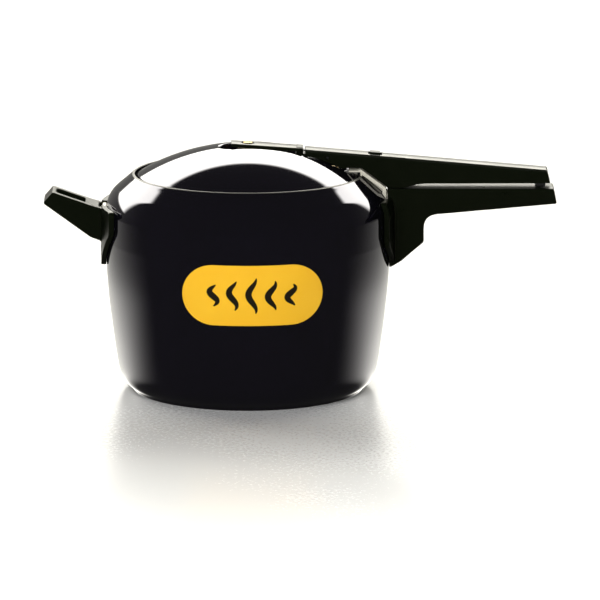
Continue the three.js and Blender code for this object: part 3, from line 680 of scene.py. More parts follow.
@dataclass
class Label:
    """Printed enamel label: a yellow stadium with curls of steam."""

    centre: Pair = (4.0, 95.0)
    length: float = 108.0
    height: float = 47.7
    lift: float = 0.2
    thick: float = 0.3
    curls: Sequence[Pair] = ((-30.0, 17.0), (-15.0, 23.0), (0.0, 28.0), (15.0, 23.0), (30.0, 17.0))

    def stadium(self, inset: float, steps: int = 28) -> list[Pair]:
        """Outline of the label at an inset from its edge."""
        r = self.height / 2 - inset
        straight = (self.length - self.height) / 2
        out: list[Pair] = []
        for side, start in ((1, -math.pi / 2), (-1, math.pi / 2)):
            out += arc(r, start, start + math.pi, steps, (side * straight, 0))
            out += [(side * (straight - 2 * straight * k / 24), side * r) for k in range(1, 24)]
        return out

    def wrap(self, x: float, z: float, out: float) -> Triple:
        """Lays a flat point of the label on the pot's wall, a distance outside it."""
        cx, cz = self.centre
        r = POT.radius_at(cz + z) + out
        gx = cx + x
        return gx, -math.sqrt(r * r - gx * gx), cz + z

    def plate(self, name: str, loops: Sequence[Outline], low: float, high: float) -> bpy.types.Object:
        """A thin curved plate between two distances from the wall.

        Args:
            name: the object's name.
            loops: outlines from the edge inwards, the last one shut to a line.
            low: distance of the back from the wall.
            high: distance of the face from the wall.

        Returns:
            The plate.
        """
        points: list[Triple] = []
        sheets = []
        for out in (low, high):
            sheets.append([])
            for loop in loops:
                sheets[-1].append(list(range(len(points), len(points) + len(loop))))
                points += [self.wrap(x, z, out) for x, z in loop]
        n = len(loops[0])
        faces = []
        for rows in sheets:
            faces += bridge(list(zip(rows, rows[1:])), n)
        faces += bridge([(sheets[0][0], sheets[1][0])], n)
        return make_object(name, points, faces)

    def steam(self) -> bpy.types.Object:
        """Rising wavy strokes printed in ink, with tapering ends."""
        strokes = []
        for k, (offset, tall) in enumerate(self.curls):
            line = []
            for i in range(41):
                t = i / 40
                z = (t - 0.5) * tall
                x = offset + 3.0 * math.sin(2 * math.pi * (t * 1.1 + 0.08 * k))
                line.append(Vector((x, z)))
            left, right = [], []
            for i, p in enumerate(line):
                ahead = line[min(i + 1, 40)] - line[max(i - 1, 0)]
                side = Vector((-ahead.y, ahead.x)).normalized()
                half = 2.5 * math.sin(math.pi * (0.03 + 0.94 * i / 40)) ** 0.8
                left.append(tuple(p + side * half))
                right.append(tuple(p - side * half))
            strokes.append((left, right))
        points: list[Triple] = []
        faces: list[tuple[int, ...]] = []
        low, high = self.lift + self.thick - 0.03, self.lift + self.thick + 0.035
        for left, right in strokes:
            rows = []
            for out in (low, high):
                for edge in (left, right):
                    rows.append(list(range(len(points), len(points) + len(edge))))
                    points += [self.wrap(x, z, out) for x, z in edge]
            back_left, back_right, left_row, right_row = rows
            n = len(left_row)
            for i in range(n - 1):
                faces.append((left_row[i], left_row[i + 1], right_row[i + 1], right_row[i]))
                faces.append((back_left[i], back_right[i], back_right[i + 1], back_left[i + 1]))
                faces.append((back_left[i], back_left[i + 1], left_row[i + 1], left_row[i]))
                faces.append((back_right[i], right_row[i], right_row[i + 1], back_right[i + 1]))
            for i in (0, n - 1):
                faces.append((back_left[i], left_row[i], right_row[i], back_right[i]))
        return make_object("label_steam", points, faces)

    def build(self) -> None:
        """Makes the label and the steam printed on it."""
        insets = [0.0, 0.12, 1.0, 3.0, 8.0, 14.0, 19.0, self.height / 2]
        loops = [self.stadium(i) for i in insets]
        face = self.plate("label_plate", loops, self.lift, self.lift + self.thick)
        finished(shade(face, 40), YELLOW, Body.POT, "label_enamel", "label")
        finished(shade(self.steam(), 40), INK, Body.POT, "label_enamel")


POT = Pot()


# ---------------------------------------------------------------- lid
@dataclass
class Lid:
    """The domed lid with its pressed channel and flange, and the gasket on the flange."""

    segments: int = 300
    edge_radius: float = 1.6
    foot_radius: float = 2.0

    def channel(self, angle: float, half: float, rear: float) -> float:
        """Distance from the pot's axis to the channel's outline in a direction.

        Args:
            angle: direction, anticlockwise from +X.
            half: half-width of the channel.
            rear: radius at which the channel's floor runs out through the dome.

        Returns:
            The distance in millimetres.
        """
        c, s = math.cos(angle), math.sin(angle)
        front = DATUM.well_front + DATUM.well_half
        end = rear / math.hypot(c, s / DATUM.mouth_ratio)
        side = half / abs(s) if abs(s) > 1e-9 else 1e9
        if side * c >= front:
            return min(side, end)
        b = c * front
        return b + math.sqrt(max(b * b - front * front + half * half, 0))

    def oval_ray(self, angle: float, r: float, z: float) -> float:
        """Distance to the oval of a given half-length in a direction, at a height."""
        return r / math.hypot(math.cos(angle), math.sin(angle) / DATUM.width_at(z))

    def dome_at(self, rho: float, angle: float, inset: float) -> float:
        """Height of the dome's outer or inner face at a plan position."""
        r = rho * math.hypot(math.cos(angle), math.sin(angle) / DATUM.mouth_ratio)
        return DATUM.dome(r, inset)

    def pressed_loops(self, half: float, floor: float, inset: float, rim: float) -> list[Loop]:
        """Loops from the middle of the channel's floor up its wall and over the dome.

        Args:
            half: half-width of the channel at its wall.
            floor: height of this face of the floor.
            inset: depth of this face below the dome's outer face.
            rim: radius at which the dome ends.

        Returns:
            One function of direction for each loop, giving distance and height.
        """
        rear = math.sqrt((DATUM.dome_radius - inset) ** 2 - (floor - DATUM.dome_top + DATUM.dome_radius) ** 2)
        loops: list[Loop] = []

        def place(share: float, extra: float, rise: float, drop: Optional[float]) -> Loop:
            """Loop at a share of the channel's widened outline, above its floor or below the dome."""

            def at(angle: float) -> Pair:
                """Distance and height in a direction."""
                rho = share * self.channel(angle, half + extra, rear + extra * 0.6)
                top = self.dome_at(rho, angle, inset)
                z = floor + rise if drop is None else max(top - drop, floor)
                return rho, min(z, top)

            return at

        r0, r1 = self.foot_radius, self.edge_radius
        for share in (0.25, 0.5, 0.75, 0.92):
            loops.append(place(share, -r0, 0, None))
        for k in range(6):
            a = math.pi / 2 * k / 5
            loops.append(place(1, -r0 + r0 * math.sin(a), r0 * (1 - math.cos(a)), None))
        for k in range(1, 5):
            loops.append(self.wall_loop(half, rear, floor, inset, k / 5, r0, r1))
        for k in range(7):
            a = math.pi / 2 * k / 6
            loops.append(place(1, 0.3 + r1 * (1 - math.cos(a)), 0, r1 * (1 - math.sin(a))))
        edge = 0.3 + r1

        def over(share: float) -> Loop:
            """Loop on the dome, a share of the way from the channel's edge to the rim."""

            def at(angle: float) -> Pair:
                """Distance and height in a direction."""
                start = self.channel(angle, half + edge, rear + edge * 0.6)
                rho = start + share * (self.oval_ray(angle, rim, DATUM.height) - start)
                return rho, self.dome_at(rho, angle, inset)

            return at

        loops += [over(k / 34) for k in range(1, 35)]
        return loops

    def wall_loop(
        self, half: float, rear: float, floor: float, inset: float, share: float, r0: float, r1: float
    ) -> Loop:
        """A loop part-way up the channel's nearly upright wall.

        Args:
            half: half-width of the channel at its wall.
            rear: radius at which the channel's floor runs out through the dome.
            floor: height of this face of the floor.
            inset: depth of this face below the dome's outer face.
            share: how far up the wall the loop lies, from 0 to 1.
            r0: radius of the rounding at the wall's foot.
            r1: radius of the rounding at its top edge.

        Returns:
            A function of direction that gives distance and height.
        """

        def at(angle: float) -> Pair:
            """Distance and height in a direction."""
            extra = 0.3 * share
            rho = self.channel(angle, half + extra, rear + extra * 0.6)
            top = self.dome_at(rho, angle, inset)
            low, high = floor + r0, max(top - r1, floor)
            return rho, min(low + share * (high - low), top) if high > low else min(high, top)

        return at

    def build(self) -> None:
        """Makes the lid and the gasket."""
        d = DATUM
        lid_r = d.mouth - d.lid_gap
        flange = d.mouth + d.flange_reach
        depth = d.wall + d.gasket + 2 * d.clear
        thick = depth + 2.5
        foot = lid_r - d.lid_wall
        outer = self.pressed_loops(d.well_half, d.well_floor, 0, lid_r - 1.2)
        top = d.dome(lid_r - 1.2)
        rings = [
            (lid_r - 0.5, top - 0.35), (lid_r - 0.1, top - 0.9), (lid_r, top - 1.6),
            (lid_r, d.shoulder(lid_r, depth) + 1), (lid_r + 0.6, d.shoulder(lid_r + 0.6, depth)),
            (flange - 3, d.shoulder(flange - 3, depth)), (flange - 0.5, d.shoulder(flange - 0.5, depth)),
            (flange, d.shoulder(flange, depth) - 0.5), (flange - 0.5, d.shoulder(flange - 0.7, thick) + 0.5),
            (flange - 1.4, d.shoulder(flange - 1.4, thick)), (foot + 1, d.shoulder(foot + 1, thick)),
            (foot, d.shoulder(foot, thick) + 0.6), (foot, d.dome(foot, d.lid_wall) - 1.5),
        ]
        inner = self.pressed_loops(
            d.well_half + d.lid_wall, d.well_floor - d.lid_wall, d.lid_wall, foot - 0.8
        )
        middle = 20.0
        points: list[Triple] = [(middle, 0, d.well_floor)]
        rows: list[list[int]] = [[0]]
        self.add_rows(points, rows, outer)
        for r, z in rings:
            self.add_rows(points, rows, [lambda a, r=r, z=z: (self.oval_ray(a, r, z), z)])
        self.add_rows(points, rows, list(reversed(inner)))
        rows.append([len(points)])
        points.append((middle, 0, d.well_floor - d.lid_wall))
        lid = make_object("lid_dome", points, bridge(list(zip(rows, rows[1:])), self.segments))
        shade(lid, 42)
        finished(lid, ANODISED, Body.LID, "hard_anodised", "lid")
        self.gasket(depth)

    def add_rows(self, points: list[Triple], rows: list[list[int]], loops: Sequence[Loop]) -> None:
        """Adds one row of points for each loop."""
        for loop in loops:
            row = []
            for i in range(self.segments):
                angle = 2 * math.pi * i / self.segments
                rho, z = loop(angle)
                row.append(len(points))
                points.append((rho * math.cos(angle), rho * math.sin(angle), z))
            rows.append(row)

    def gasket(self, depth: float) -> None:
        """The rubber ring between the flange and the underside of the shoulder, with sealing lips."""
        d = DATUM
        top, bottom = d.wall + d.clear, depth - d.clear
        inside, outside = d.mouth + 0.4, d.mouth + d.flange_reach + 0.3
        span = outside - inside
        upper = []
        for k in range(13):
            t = k / 12
            r = inside + span * t
            groove = 0.5 * (0.5 - 0.5 * math.cos(4 * math.pi * t))
            upper.append((r, d.shoulder(r, top + 0.55 - groove)))
        lower = [(inside + span * t, d.shoulder(inside + span * t, bottom)) for t in (1, 0.66, 0.33, 0)]
        nose = [(outside + 0.6, d.shoulder(outside + 0.6, (top + bottom) / 2))]
        ring = turned("lid_gasket", [*upper, *nose, *lower], 200, closed=True, oval=True)
        finished(shade(ring, 50), RUBBER, Body.LID, "black_rubber", "gasket")


# ---------------------------------------------------------------- Geometry Nodes
@dataclass(frozen=True)
class Scatter:
    """Copies of one small part on given points, made with Geometry Nodes."""

    name: str
    places: Sequence[tuple[Triple, Triple]]

    def build(self, part: bpy.types.Object, finish: Finish) -> bpy.types.Object:
        """Instances the part on every place and returns one plain mesh.

        Args:
            part: the part, modelled about its own origin; it is used up.
            finish: the surface set at the end of the tree.

        Returns:
            The object that holds all the copies.
        """
        mesh = bpy.data.meshes.new(self.name)
        mesh.from_pydata([tuple(c * MM for c in place) for place, _ in self.places], [], [])
        turn = mesh.attributes.new("turn", "FLOAT_VECTOR", "POINT")
        for i, (_, angles) in enumerate(self.places):
            turn.data[i].vector = [math.radians(a) for a in angles]
        holder = bpy.data.objects.new(self.name, mesh)
        bpy.context.scene.collection.objects.link(holder)
        tree = bpy.data.node_groups.new(self.name + "_tree", "GeometryNodeTree")
        tree.interface.new_socket("Geometry", in_out="INPUT", socket_type="NodeSocketGeometry")
        size = tree.interface.new_socket("Size", in_out="INPUT", socket_type="NodeSocketFloat")
        source = tree.interface.new_socket("Part", in_out="INPUT", socket_type="NodeSocketObject")
        tree.interface.new_socket("Geometry", in_out="OUTPUT", socket_type="NodeSocketGeometry")
        entry = add(tree, "NodeGroupInput")
        shape = add(tree, "GeometryNodeObjectInfo", {"Object": entry.outputs["Part"]})
        angles = add(tree, "GeometryNodeInputNamedAttribute", {"Name": "turn"}, data_type="FLOAT_VECTOR")
        spin = add(tree, "FunctionNodeEulerToRotation", {0: angles.outputs["Attribute"]})
        copies = add(tree, "GeometryNodeInstanceOnPoints", {
            "Points": entry.outputs["Geometry"], "Instance": shape.outputs["Geometry"],
            "Rotation": spin.outputs[0], "Scale": entry.outputs["Size"],
        })
        real = add(tree, "GeometryNodeRealizeInstances", {"Geometry": copies.outputs["Instances"]})
        dressed = add(tree, "GeometryNodeSetMaterial", {
            "Geometry": real.outputs["Geometry"], "Material": finish.material(),
        })
        add(tree, "NodeGroupOutput", {"Geometry": dressed.outputs["Geometry"]})
        modifier = holder.modifiers.new("copies", "NODES")
        modifier.node_group = tree
        modifier[size.identifier] = 1.0
        modifier[source.identifier] = part
        settle(holder)
        bpy.data.objects.remove(part)
        bpy.data.node_groups.remove(tree)
        return shade(holder, 35)


# ---------------------------------------------------------------- handles on the pot
@dataclass
class HandleWork:
    """Heights and lines along the long handles, and sizes shared by what is in and between them."""

    gap: float = 4.2
    body_top: float = 159.4
    slope: float = 0.0868
    front: float = 44.6
    rear: float = 232.5
    top_at_front: float = 190.0
    skin: float = 2.6
    bar_thick: float = 3.0
    stud_x: float = 227.5
    sheet: float = 1.5
    pin_radius: float = 2.0
    tube_radius: float = 3.2
    lever_pin_hole: float = 1.16
    screw_way: float = 1.9
    pad: Pair = (95.0, 103.0)
    pad_half: float = 4.0
    fulcrum: Vector = field(default_factory=lambda: pivot_of("lid_lift"))
    trunnion: Vector = field(default_factory=lambda: pivot_of("lid_level"))
    pivot: Vector = field(default_factory=lambda: pivot_of("lever_press"))

    def top(self, x: float) -> float:
        """Top of the lid handle."""
        return self.top_at_front - self.slope * (x - self.front)

    def ceiling(self, x: float) -> float:
        """Roof of the channel inside the lid handle."""
        return self.top(x) - self.skin

    def bar_floor(self, x: float) -> float:
        """Underside of the handle bar."""
        return self.fulcrum.z + 0.1 - self.slope * (x - self.fulcrum.x)

    def bar_top(self, x: float) -> float:
        """Top of the handle bar."""
        return self.bar_floor(x) + self.bar_thick

    def bracket_top(self, x: float) -> float:
        """Top face of the body bracket where it lies over the shoulder."""
        return self.fulcrum.z - 0.2 - 0.735 * (x - self.fulcrum.x)

    def strip(self, x0: float, x1: float, low: Line, high: Line) -> list[Pair]:
        """Outline between two sloping lines."""
        return [(x0, low(x0)), (x1, low(x1)), (x1, high(x1)), (x0, high(x0))]


WORK = HandleWork()


@dataclass
class PotHandles:
    """The body handle and helper handle with their brackets, rivets and screws."""

    shield_half: float = 33.0
    shield_thick: float = 4.0
    bracket_half: float = 14.0
    edge_thick: float = 3.6
    strap_thick: float = 2.5
    body_screw_z: float = 116.0
    body_rivets: Pair = (126.0, 140.0)
    helper_half: float = 14.0
    helper_shield_half: float = 40.0
    helper_screw_z: float = 129.0
    helper_rivets: Pair = (119.0, 139.0)
    rivet_radius: float = 2.5
    helper_end: float = node_box("helper_handle")[0].x
    body_end: float = node_box("body_handle")[1].x

    def hugging(self, name: str, outline: Outline, side: int, thick: float) -> bpy.types.Object:
        """A plate of even thickness that follows the pot's wall.

        Args:
            name: the object's name.
            outline: its outline seen along X.
            side: 1 for the body handle's side, -1 for the helper's.
            thick: its thickness.

        Returns:
            The plate, still to be cut by the pot's guard.
        """
        plate = prism(name, outline, Plane.YZ, *on_side(side, 85.0, 125.0))
        return combine(plate, [POT.guard(DATUM.clear + thick)], "INTERSECT")

    def shield(self, side: int, half: float, top: float, waist: float, tip: float) -> bpy.types.Object:
        """The moulded shield, broad at the top and pointed at the bottom."""
        corners = [(half, top), (half, waist), (5.0, tip)]
        outline = rounded(mirrored(corners), [5, 9, 3, 3, 9, 5], 5)
        return self.hugging("shield", outline, side, self.shield_thick)

    def body_handle(self) -> None:
        """The long lower handle."""
        top, end = WORK.body_top, self.body_end
        corners = [
            (94, 97), (111.5, 97), (118.6, 101), (137, 117), (137, 138.3),
            (end - 0.1, 147.6), (end - 2.9, top), (109, top), (100, 150),
        ]
        outline = rounded(corners, [0, 0.6, 8, 3, 12, 1.2, 1.2, 0, 0], 8)
        section = rounded(
            mirrored([(11.3, top + 0.02), (12.2, top - 2.0), (12.2, top - 17), (9.2, 92)]),
            [1.2, 1.2, 9, 4, 4, 9, 1.2, 1.2],
            5,
        )
        beam = prism("body_handle_moulding", outline, Plane.XZ, -40, 40)
        combine(beam, [prism("section", section, Plane.YZ, 88, end + 4)], "INTERSECT")
        combine(beam, [self.shield(1, self.shield_half, 152, 118, 97)], "UNION")
        z = self.body_screw_z
        strap_room = combine(
            box("strap_room", (90, 118), (-9.4, 9.4), (106, 156.4)),
            [POT.guard(self.strap_thick + 3.2)],
            "INTERSECT",
        )
        half = self.bracket_half + 0.4
        cutters = [
            POT.guard(DATUM.clear),
            strap_room,
            box("saddle_room", (90, 108.8), (-half, half), (149, 176)),
            rod("boss_room", 4.9, Axis.X, (0, 0, z), 100, 121.4),
            rod("screw_way", WORK.screw_way, Axis.X, (0, 0, z), 110, 140),
            rod("screw_sink", 4.2, Axis.X, (0, 0, z), 127, 140),
            rod("stud_hole", 2.06, Axis.Z, (WORK.stud_x, 0, 0), top - 9, top + 1),
        ]
        combine(beam, cutters)
        finished(soften(beam, 0.55), PHENOLIC, Body.POT, "phenolic", "body_handle")

    def helper_handle(self) -> None:
        """The short handle on the far side, with its open pocket."""
        end, half = self.helper_end, self.helper_half
        corners = [
            (-94, 143.5), (-110, 143.2), (-122, 146.8), (-151.8, 157.2), (end + 0.05, 148.4),
            (-122.4, 121.4), (-110, 117), (-94, 117),
        ]
        outline = rounded(corners, [0, 8, 30, 1.6, 2.2, 14, 6, 0], 7)
        section = rounded(mirrored([(half, 163), (half, 98)]), [0.1, 5, 5, 0.1], 5)
        beam = prism("helper_handle_moulding", outline, Plane.XZ, -40, 40)
        combine(beam, [prism("section", section, Plane.YZ, end - 4, -88)], "INTERSECT")
        combine(beam, [self.shield(-1, self.helper_shield_half, 146, 128, 98)], "UNION")
        z = self.helper_screw_z
        pocket = rounded([(-149, 165), (-149, 144.6), (-126.5, 129), (-126.5, 165)], [0, 2.5, 2.5, 0], 5)
        plan = rounded([(-149, -8.5), (-126.5, -8.5), (-126.5, 8.5), (-149, 8.5)], 2.5, 5)
        hollow = combine(
            prism("pocket", pocket, Plane.XZ, -20, 20),
            [prism("pocket_plan", plan, Plane.XY, 120, 170)],
            "INTERSECT",
        )
        strap_room = combine(
            box("strap_room", (-118, -90), (-9.4, 9.4), (112.5, 150)),
            [POT.guard(self.strap_thick + 3.2)],
            "INTERSECT",
        )
        cutters = [
            POT.guard(DATUM.clear),
            hollow,
            strap_room,
            rod("boss_room", 4.7, Axis.X, (0, 0, z), -118.9, -100),
            rod("screw_way", WORK.screw_way, Axis.X, (0, 0, z), -135, -110),
            rod("screw_sink", 4.1, Axis.X, (0, 0, z), -134, -125.5),
        ]
        combine(beam, cutters)
        finished(soften(beam, 0.6), PHENOLIC, Body.POT, "phenolic", "helper_handle")

    def brackets(self) -> None:
        """The cast saddle over the shoulder with its strap, and the helper's strap."""
        foot = WORK.fulcrum.x - 0.5
        peak = WORK.fulcrum.z - 0.2
        low_x = DATUM.radius - 2.9
        corners = [
            (foot - 9, 172.85), (foot, 172.85), (foot, 166), (DATUM.radius - 14, 150),
            (low_x, 150), (low_x, WORK.bracket_top(low_x)), (foot + 0.4, peak),
            (foot - 2.2, 174.1), (foot - 9, 173.95),
        ]
        outline = rounded(corners, [0.3, 0, 0, 0, 0.5, 1.2, 0.8, 1, 0.5], 4)
        half = self.bracket_half
        saddle = prism("body_bracket_casting", outline, Plane.XZ, -half, half)
        flanks = [
            prism("flank_relief", self.flank(), Plane.XZ, *on_side(side, half - 5, half + 2))
            for side in (1, -1)
        ]
        self.strap(saddle, 1, (109, 156), self.body_screw_z, 4.6, self.body_rivets)
        combine(saddle, flanks)
        finished(soften(saddle, 0.45), CAST, Body.POT, "bare_aluminium", "body_bracket")
        helper = self.strap(None, -1, (113.5, 145), self.helper_screw_z, 4.4, self.helper_rivets)
        helper.name = "helper_bracket_plate"
        finished(soften(helper, 0.3), CAST, Body.POT, "bare_aluminium", "helper_bracket")

    def flank(self) -> list[Pair]:
        """Outline of the metal left out under the saddle's two edges."""
        near, far = WORK.fulcrum.x + 1.0, DATUM.radius - 5.9
        return [
            *[(x, WORK.bracket_top(x) - self.edge_thick) for x in (near, far)], (far, 140), (near, 140),
        ]

    def strap(
        self,
        saddle: Optional[bpy.types.Object],
        side: int,
        span: Pair,
        screw_z: float,
        boss: float,
        rivets: Pair,
    ) -> bpy.types.Object:
        """The strap down the wall with its screw boss, joined to a saddle if there is one.

        Args:
            saddle: the casting that it belongs to, or None.
            side: 1 for the body handle's side, -1 for the helper's.
            span: its lowest and highest points.
            screw_z: height of the handle's screw.
            boss: radius of the screw's boss.
            rivets: heights of the two rivets.

        Returns:
            The bracket.
        """
        corners = [(-9, span[0]), (9, span[0]), (9, span[1]), (-9, span[1])]
        plate = self.hugging("strap", rounded(corners, 3, 4), side, self.strap_thick)
        reach = on_side(side, 105.0, 121.0 if side > 0 else 118.5)
        tools = [rod("boss", boss, Axis.X, (0, 0, screw_z), *reach)]
        base = plate
        if saddle is not None:
            base, tools = saddle, [plate, *tools]
        combine(base, tools, "UNION")
        hole = on_side(side, 112.0, 123.0)
        cutters = [POT.guard(DATUM.clear), rod("thread", 1.66, Axis.X, (0, 0, screw_z), *hole)]
        across = on_side(side, 95.0, 125.0)
        radius = self.rivet_radius + PIN_FIT
        cutters += [rod("rivet_hole", radius, Axis.X, (0, 0, z), *across) for z in rivets]
        return combine(base, cutters)

    def rivets(self) -> None:
        """The four rivets through the pot's wall, their flat heads inside the pot."""
        inside = -DATUM.wall - 0.5
        outside = DATUM.clear + self.strap_thick + 0.9
        head = [
            (0, inside - 1.6), (2.2, inside - 1.55), (3.5, inside - 1.35), (4.3, inside - 0.8),
            (4.6, inside - 0.3), (4.6, inside), (self.rivet_radius, inside),
            (self.rivet_radius, outside), (4.0, outside), (3.9, outside + 0.6),
            (3.2, outside + 1.2), (1.6, outside + 1.45), (0, outside + 1.5),
        ]
        form = turned("rivet_form", head, 28, axis=Axis.X)
        places = [((POT.radius_at(z), 0, z), (0, 0, 0)) for z in self.body_rivets]
        places += [((-POT.radius_at(z), 0, z), (0, 0, 180)) for z in self.helper_rivets]
        made = Scatter("wall_rivets", places).build(form, CAST)
        nodes = [f"{side}_rivet_{i}" for side in ("body", "helper") for i in (1, 2)]
        finished(made, CAST, Body.POT, "bare_aluminium", *nodes)

    def screws(self) -> None:
        """The two handle screws and the catch stud."""
        for node, side, head_x, tip_x, z in (
            ("body_handle_screw", 1, 131.0, 113.5, self.body_screw_z),
            ("helper_screw", -1, -128.5, -114.5, self.helper_screw_z),
        ):
            length = abs(head_x - tip_x)
            profile = [(r, side * x) for r, x in screw_profile(3.6, 1.6, length)]
            screw = turned(f"{node}_steel", profile, 28, (tip_x, 0, z), Axis.X)
            combine(screw, [box("slot", (head_x - 1, head_x + 1), (-5, 5), (z - 0.5, z + 0.5))])
            finished(shade(screw, 30), STEEL, Body.POT, "steel", node)
        top = WORK.body_top
        profile = [
            (0, top - 8.4), (1.6, top - 8.4), (2, top - 7.8), (2, top + 0.3), (3.2, top + 0.3),
            (3.4, top + 0.5), (3.4, top + 1.4), (3.1, top + 1.8), (2.2, top + 2.5), (2.2, top + 5.2),
            (3.7, top + 6.3), (4, top + 6.7), (4, top + 7.8), (3.5, top + 8.5), (2.2, top + 9.2),
            (0, top + 9.2),
        ]
        stud = turned("catch_stud_steel", profile, 48, (WORK.stud_x, 0, 0))
        finished(shade(stud, 30), STEEL, Body.POT, "steel", "catch_stud")

    def build(self) -> None:
        """Makes everything that is fixed to the pot."""
        self.body_handle()
        self.helper_handle()
        self.brackets()
        self.rivets()
        self.screws()


def screw_profile(head: float, shank: float, length: float) -> list[Pair]:
    """Section of a pan-head screw from its tip, with a rolled thread on the shank.

    Args:
        head: radius of the head.
        shank: radius over the thread.
        length: overall length.

    Returns:
        Radius and height pairs from the tip at zero to the top of the head.
    """
    under = length - 2.6
    out = [(0, 0), (shank - 0.5, 0.05), (shank - 0.15, 0.5)]
    pitch = 0.8
    for k in range(int((under - 1.4) / pitch)):
        z = 0.7 + k * pitch
        out += [(shank - 0.18, z), (shank, z + pitch * 0.4), (shank - 0.18, z + pitch * 0.8)]
    out += [(shank - 0.05, under - 0.3), (shank, under), (head - 0.2, under), (head, under + 0.25)]
    return [*out, *arc(1.4, 0, math.pi / 2, 5, (head - 1.4, under + 1.2)), (0, length)]


# ---------------------------------------------------------------- what is fixed to the lid
@dataclass
class LidFittings:
    """Bracket, vent tube and safety valve in the lid's channel, with washers and nuts below."""

    ear_inner: float = 10.4
    ear_outer: float = node_box("lid_bracket")[1].y
    ear_radius: float = 4.0
    hole: float = 4.2
    valve_x: float = 65.0
    nut_circle: float = 6.6
    tube_top: float = node_box("vent_tube")[1].z
    tube_foot: float = 158.5
    bore: float = 1.0

    def bracket(self) -> None:
        """The pressed bracket whose two ears carry the trunnion pins."""
        floor = DATUM.well_floor + DATUM.clear
        z, half = WORK.trunnion.z, self.ear_outer
        ear = [(-6, floor), (6, floor), *arc(self.ear_radius, 0, math.pi, 20, (0, z))]
        base = rounded([(-10, -half), (10, -half), (10, half), (-10, half)], 1.5)
        body = prism("lid_bracket_pressing", base, Plane.XY, floor, floor + WORK.sheet)
        ears = [prism("ear", ear, Plane.XZ, *on_side(side, self.ear_inner, half)) for side in (1, -1)]
        combine(body, ears, "UNION")
        cutters = [
            rod("pin_hole", WORK.pin_radius + PIN_FIT, Axis.Y, (0, 0, z), -20, 20),
            rod("tube_hole", self.hole, Axis.Z, (0, 0, 0), floor - 4, floor + 5),
        ]
        combine(body, cutters)
        finished(soften(body, 0.18, 2), STEEL, Body.LID, "steel", "lid_bracket")

    def tube(self) -> None:
        """The vent tube with its collar and a rolled thread below the channel's floor."""
        collar = DATUM.well_floor + 2 * DATUM.clear + WORK.sheet
        thread = rolled_thread(3.65, 3.88, 159.3, 0.9, 7)
        foot, top, radius = self.tube_foot, self.tube_top, WORK.tube_radius
        profile = [
            (self.bore, foot), (3.3, foot), (3.7, foot + 0.5), *thread, (3.9, 165.8), (3.9, collar),
            (5.3, collar), (5.6, collar + 0.3), (5.6, collar + 1.8), (5.3, collar + 2.2),
            (radius + 0.4, collar + 2.3), (radius, collar + 2.8), (radius, top - 1.2),
            (2.6, top - 0.6), (1.7, top), (1.2, top), (self.bore, top - 0.3),
        ]
        tube = turned("vent_tube_steel", profile, 48, closed=True)
        finished(shade(tube, 30), STEEL, Body.LID, "steel", "vent_tube")

    def washers(self) -> None:
        """The two rubber washers under the channel's floor."""
        top = -DATUM.lid_wall - DATUM.clear
        ring = [
            (4.1, top - 1.3), (4.3, top - 1.5), (7.2, top - 1.5), (7.6, top - 1.1), (7.6, top - 0.4),
            (7.2, top), (4.3, top), (4.1, top - 0.2),
        ]
        form = turned("washer_form", ring, 40, closed=True)
        places = [((x, 0, DATUM.well_floor), (0, 0, 0)) for x in (0.0, self.valve_x)]
        made = Scatter("channel_washers", places).build(form, RUBBER)
        finished(made, RUBBER, Body.LID, "black_rubber", "vent_washer", "valve_washer")

    def nut(self, name: str, x: float, finish: Finish, slot: str, node: str) -> None:
        """A hexagon nut with chamfered corners and a threaded hole."""
        top = DATUM.well_floor - DATUM.lid_wall - 2 * DATUM.clear - 1.5
        nut = rod(name, self.nut_circle, Axis.Z, (x, 0, 0), top - 5, top, 6)
        r = self.nut_circle
        barrel = [
            (0, top - 5), (r - 0.9, top - 5), (r + 0.02, top - 4.4), (r + 0.02, top - 0.6),
            (r - 0.9, top), (0, top),
        ]
        combine(nut, [turned("chamfer", barrel, 48, (x, 0, 0))], "INTERSECT")
        combine(nut, [rod("thread", 4.0, Axis.Z, (x, 0, 0), top - 8, top + 3)])
        finished(soften(nut, 0.12, 2), finish, Body.LID, slot, node)

    def valve(self) -> None:
        """The brass safety valve with the low-melting plug cast into it."""
        floor, foot = DATUM.well_floor, self.tube_foot
        profile = [
            (2, foot), (3.3, foot), (3.7, foot + 0.5), (3.9, 159.6), (3.9, floor + DATUM.clear),
            (5.7, floor + DATUM.clear), (6, floor + 0.6), (6, floor + 2.1), (5.6, floor + 2.6),
            (4.7, floor + 3.8), (4.2, floor + 4), (2.2, floor + 4), (2, floor + 3.8),
        ]
        valve = turned("safety_valve_brass", profile, 48, (self.valve_x, 0, 0), closed=True)
        finished(shade(valve, 30), BRASS, Body.LID, "brass", "safety_valve")
        plug = [(0, 161), (1.7, 161), (1.9, 161.3), (1.9, floor + 3.1), (1.5, floor + 3.35), (0, floor + 3.2)]
        made = turned("fusible_plug_alloy", plug, 32, (self.valve_x, 0, 0))
        finished(shade(made, 30), FUSIBLE, Body.LID, "fusible_metal", "fusible_plug")

    def build(self) -> None:
        """Makes everything that is fixed to the lid."""
        self.bracket()
        self.tube()
        self.washers()
        self.nut("vent_nut_steel", 0.0, STEEL, "steel", "vent_nut")
        self.nut("valve_nut_brass", self.valve_x, BRASS, "brass", "valve_nut")
        self.valve()


